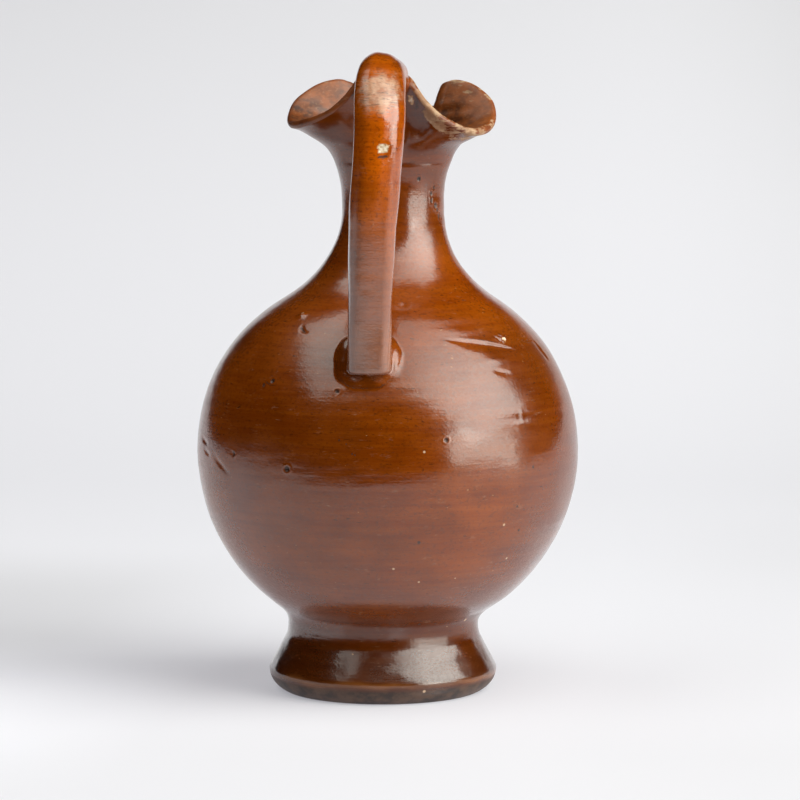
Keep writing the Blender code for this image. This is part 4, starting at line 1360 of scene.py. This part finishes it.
wash = bpy.data.lights.new("wash", 'AREA')
wash.shape = 'RECTANGLE'
wash.size, wash.size_y = 1.3, 0.3
wash.energy = 0.5
wash_ob = bpy.data.objects.new("wash", wash)
bpy.context.scene.collection.objects.link(wash_ob)
wash_ob.location = (0.0, 0.75, 0.95)
wash_ob.rotation_euler = Vector((0.0, 0.93, -0.37)).to_track_quat('-Z', 'Y').to_euler()

world = bpy.data.worlds.new("studio")
bpy.context.scene.world = world
world.use_nodes = True
world.node_tree.nodes["Background"].inputs[0].default_value = (0.5, 0.5, 0.52, 1.0)
world.node_tree.nodes["Background"].inputs[1].default_value = 0.006


def table_and_sweep():
    """Pale table top that runs back and sweeps up behind the pot."""
    line = [(-0.372, -0.05, 1.3), (-0.372, -0.012, 1.3), (-0.366, -0.003, 1.3), (-0.355, 0.0, 1.3)]
    line += [(y, 0.0, 1.3) for y in np.linspace(-0.34, 0.6, 63)]
    for t in np.linspace(0.05, 1.0, 24):
        a = t * math.pi / 2
        line.append((0.6 + 0.8 * math.sin(a), 0.8 * (1 - math.cos(a)), 1.3 - 0.6 * float(smooth(t * 1.6))))
    line = [row for row in line if row[1] < 0.56]
    verts, faces, columns = [], [], 81
    for y, z, w in line:
        verts += [(w * t, y, z) for t in np.linspace(-1.0, 1.0, columns)]
    for i in range(len(line) - 1):
        for j in range(columns - 1):
            k = columns * i + j
            faces.append((k, k + 1, k + 1 + columns, k + columns))
    mesh = bpy.data.meshes.new("floor")
    mesh.from_pydata([tuple(float(c) for c in v) for v in verts], [], faces)
    mesh.shade_smooth()
    # painted light: the floor and sweep glow by these values, brighter in front and beside the foot on the left,
    # dimmer up the sweep and to the right, with a painted shadow behind the foot on the left
    at = np.array(verts, dtype=float)
    left = smooth((-0.05 - at[:, 0]) / 0.10)
    fill = 1.0 - 0.56 * smooth(at[:, 2] / 0.42)
    fill -= 0.36 * smooth((at[:, 0] - 0.02) / 0.30) * smooth((at[:, 1] - 0.1) / 0.4) + 0.45 * smooth((at[:, 0] - 0.02) / 0.45) * smooth(at[:, 2] / 0.30)
    fill += left * (0.36 * smooth((0.04 - at[:, 1]) / 0.08) * smooth((at[:, 1] + 0.20) / 0.12) - 0.32 * smooth((at[:, 1] - 0.02) / 0.08) * smooth((0.34 - at[:, 1]) / 0.15))
    fill -= (1.0 - left) * (0.10 * smooth((-0.04 - at[:, 1]) / 0.08) + 0.12 * smooth((at[:, 0] - 0.05) / 0.1) * smooth((0.5 - at[:, 1]) / 0.2))
    mesh.attributes.new("fill", 'FLOAT', 'POINT').data.foreach_set("value", fill.astype(float))
    return mesh


floor_mesh = table_and_sweep()
floor = bpy.data.objects.new("floor", floor_mesh)
bpy.context.scene.collection.objects.link(floor)
floor_mat = bpy.data.materials.new("floor")
n, l = nodes_of(floor_mat)
n["Principled BSDF"].inputs["Base Color"].default_value = (0.55, 0.55, 0.585, 1.0)
# the glow is painted light, graded by the fill values
n["Principled BSDF"].inputs["Emission Color"].default_value = (0.325, 0.325, 0.352, 1.0)
fill = n.new("ShaderNodeAttribute")
fill.attribute_name = "fill"
l.new(fill.outputs["Fac"], n["Principled BSDF"].inputs["Emission Strength"])
n["Principled BSDF"].inputs["Roughness"].default_value = 0.9
floor_mesh.materials.append(floor_mat)

camera_data = bpy.data.cameras.new("camera")
camera = bpy.data.objects.new("camera", camera_data)
bpy.context.scene.collection.objects.link(camera)
camera_data.sensor_width = 36.0
camera_data.angle = math.radians(12.9)
az, pitch = math.radians(AZIMUTH), math.radians(5.67)
right = Vector((math.cos(az), math.sin(az), 0.0))
level = Vector((-math.sin(az), math.cos(az), 0.0))
ahead = level * math.cos(pitch) - Vector((0.0, 0.0, math.sin(pitch)))
above = right.cross(ahead)
view = Matrix((right, above, -ahead)).transposed().to_4x4()
view.translation = -level * 1.2 + right * 0.00586 + Vector((0.0, 0.0, 0.218))
camera.matrix_world = view
bpy.context.scene.camera = camera
bpy.context.scene.view_settings.view_transform = 'Standard'
bpy.context.scene.view_settings.look = 'None'
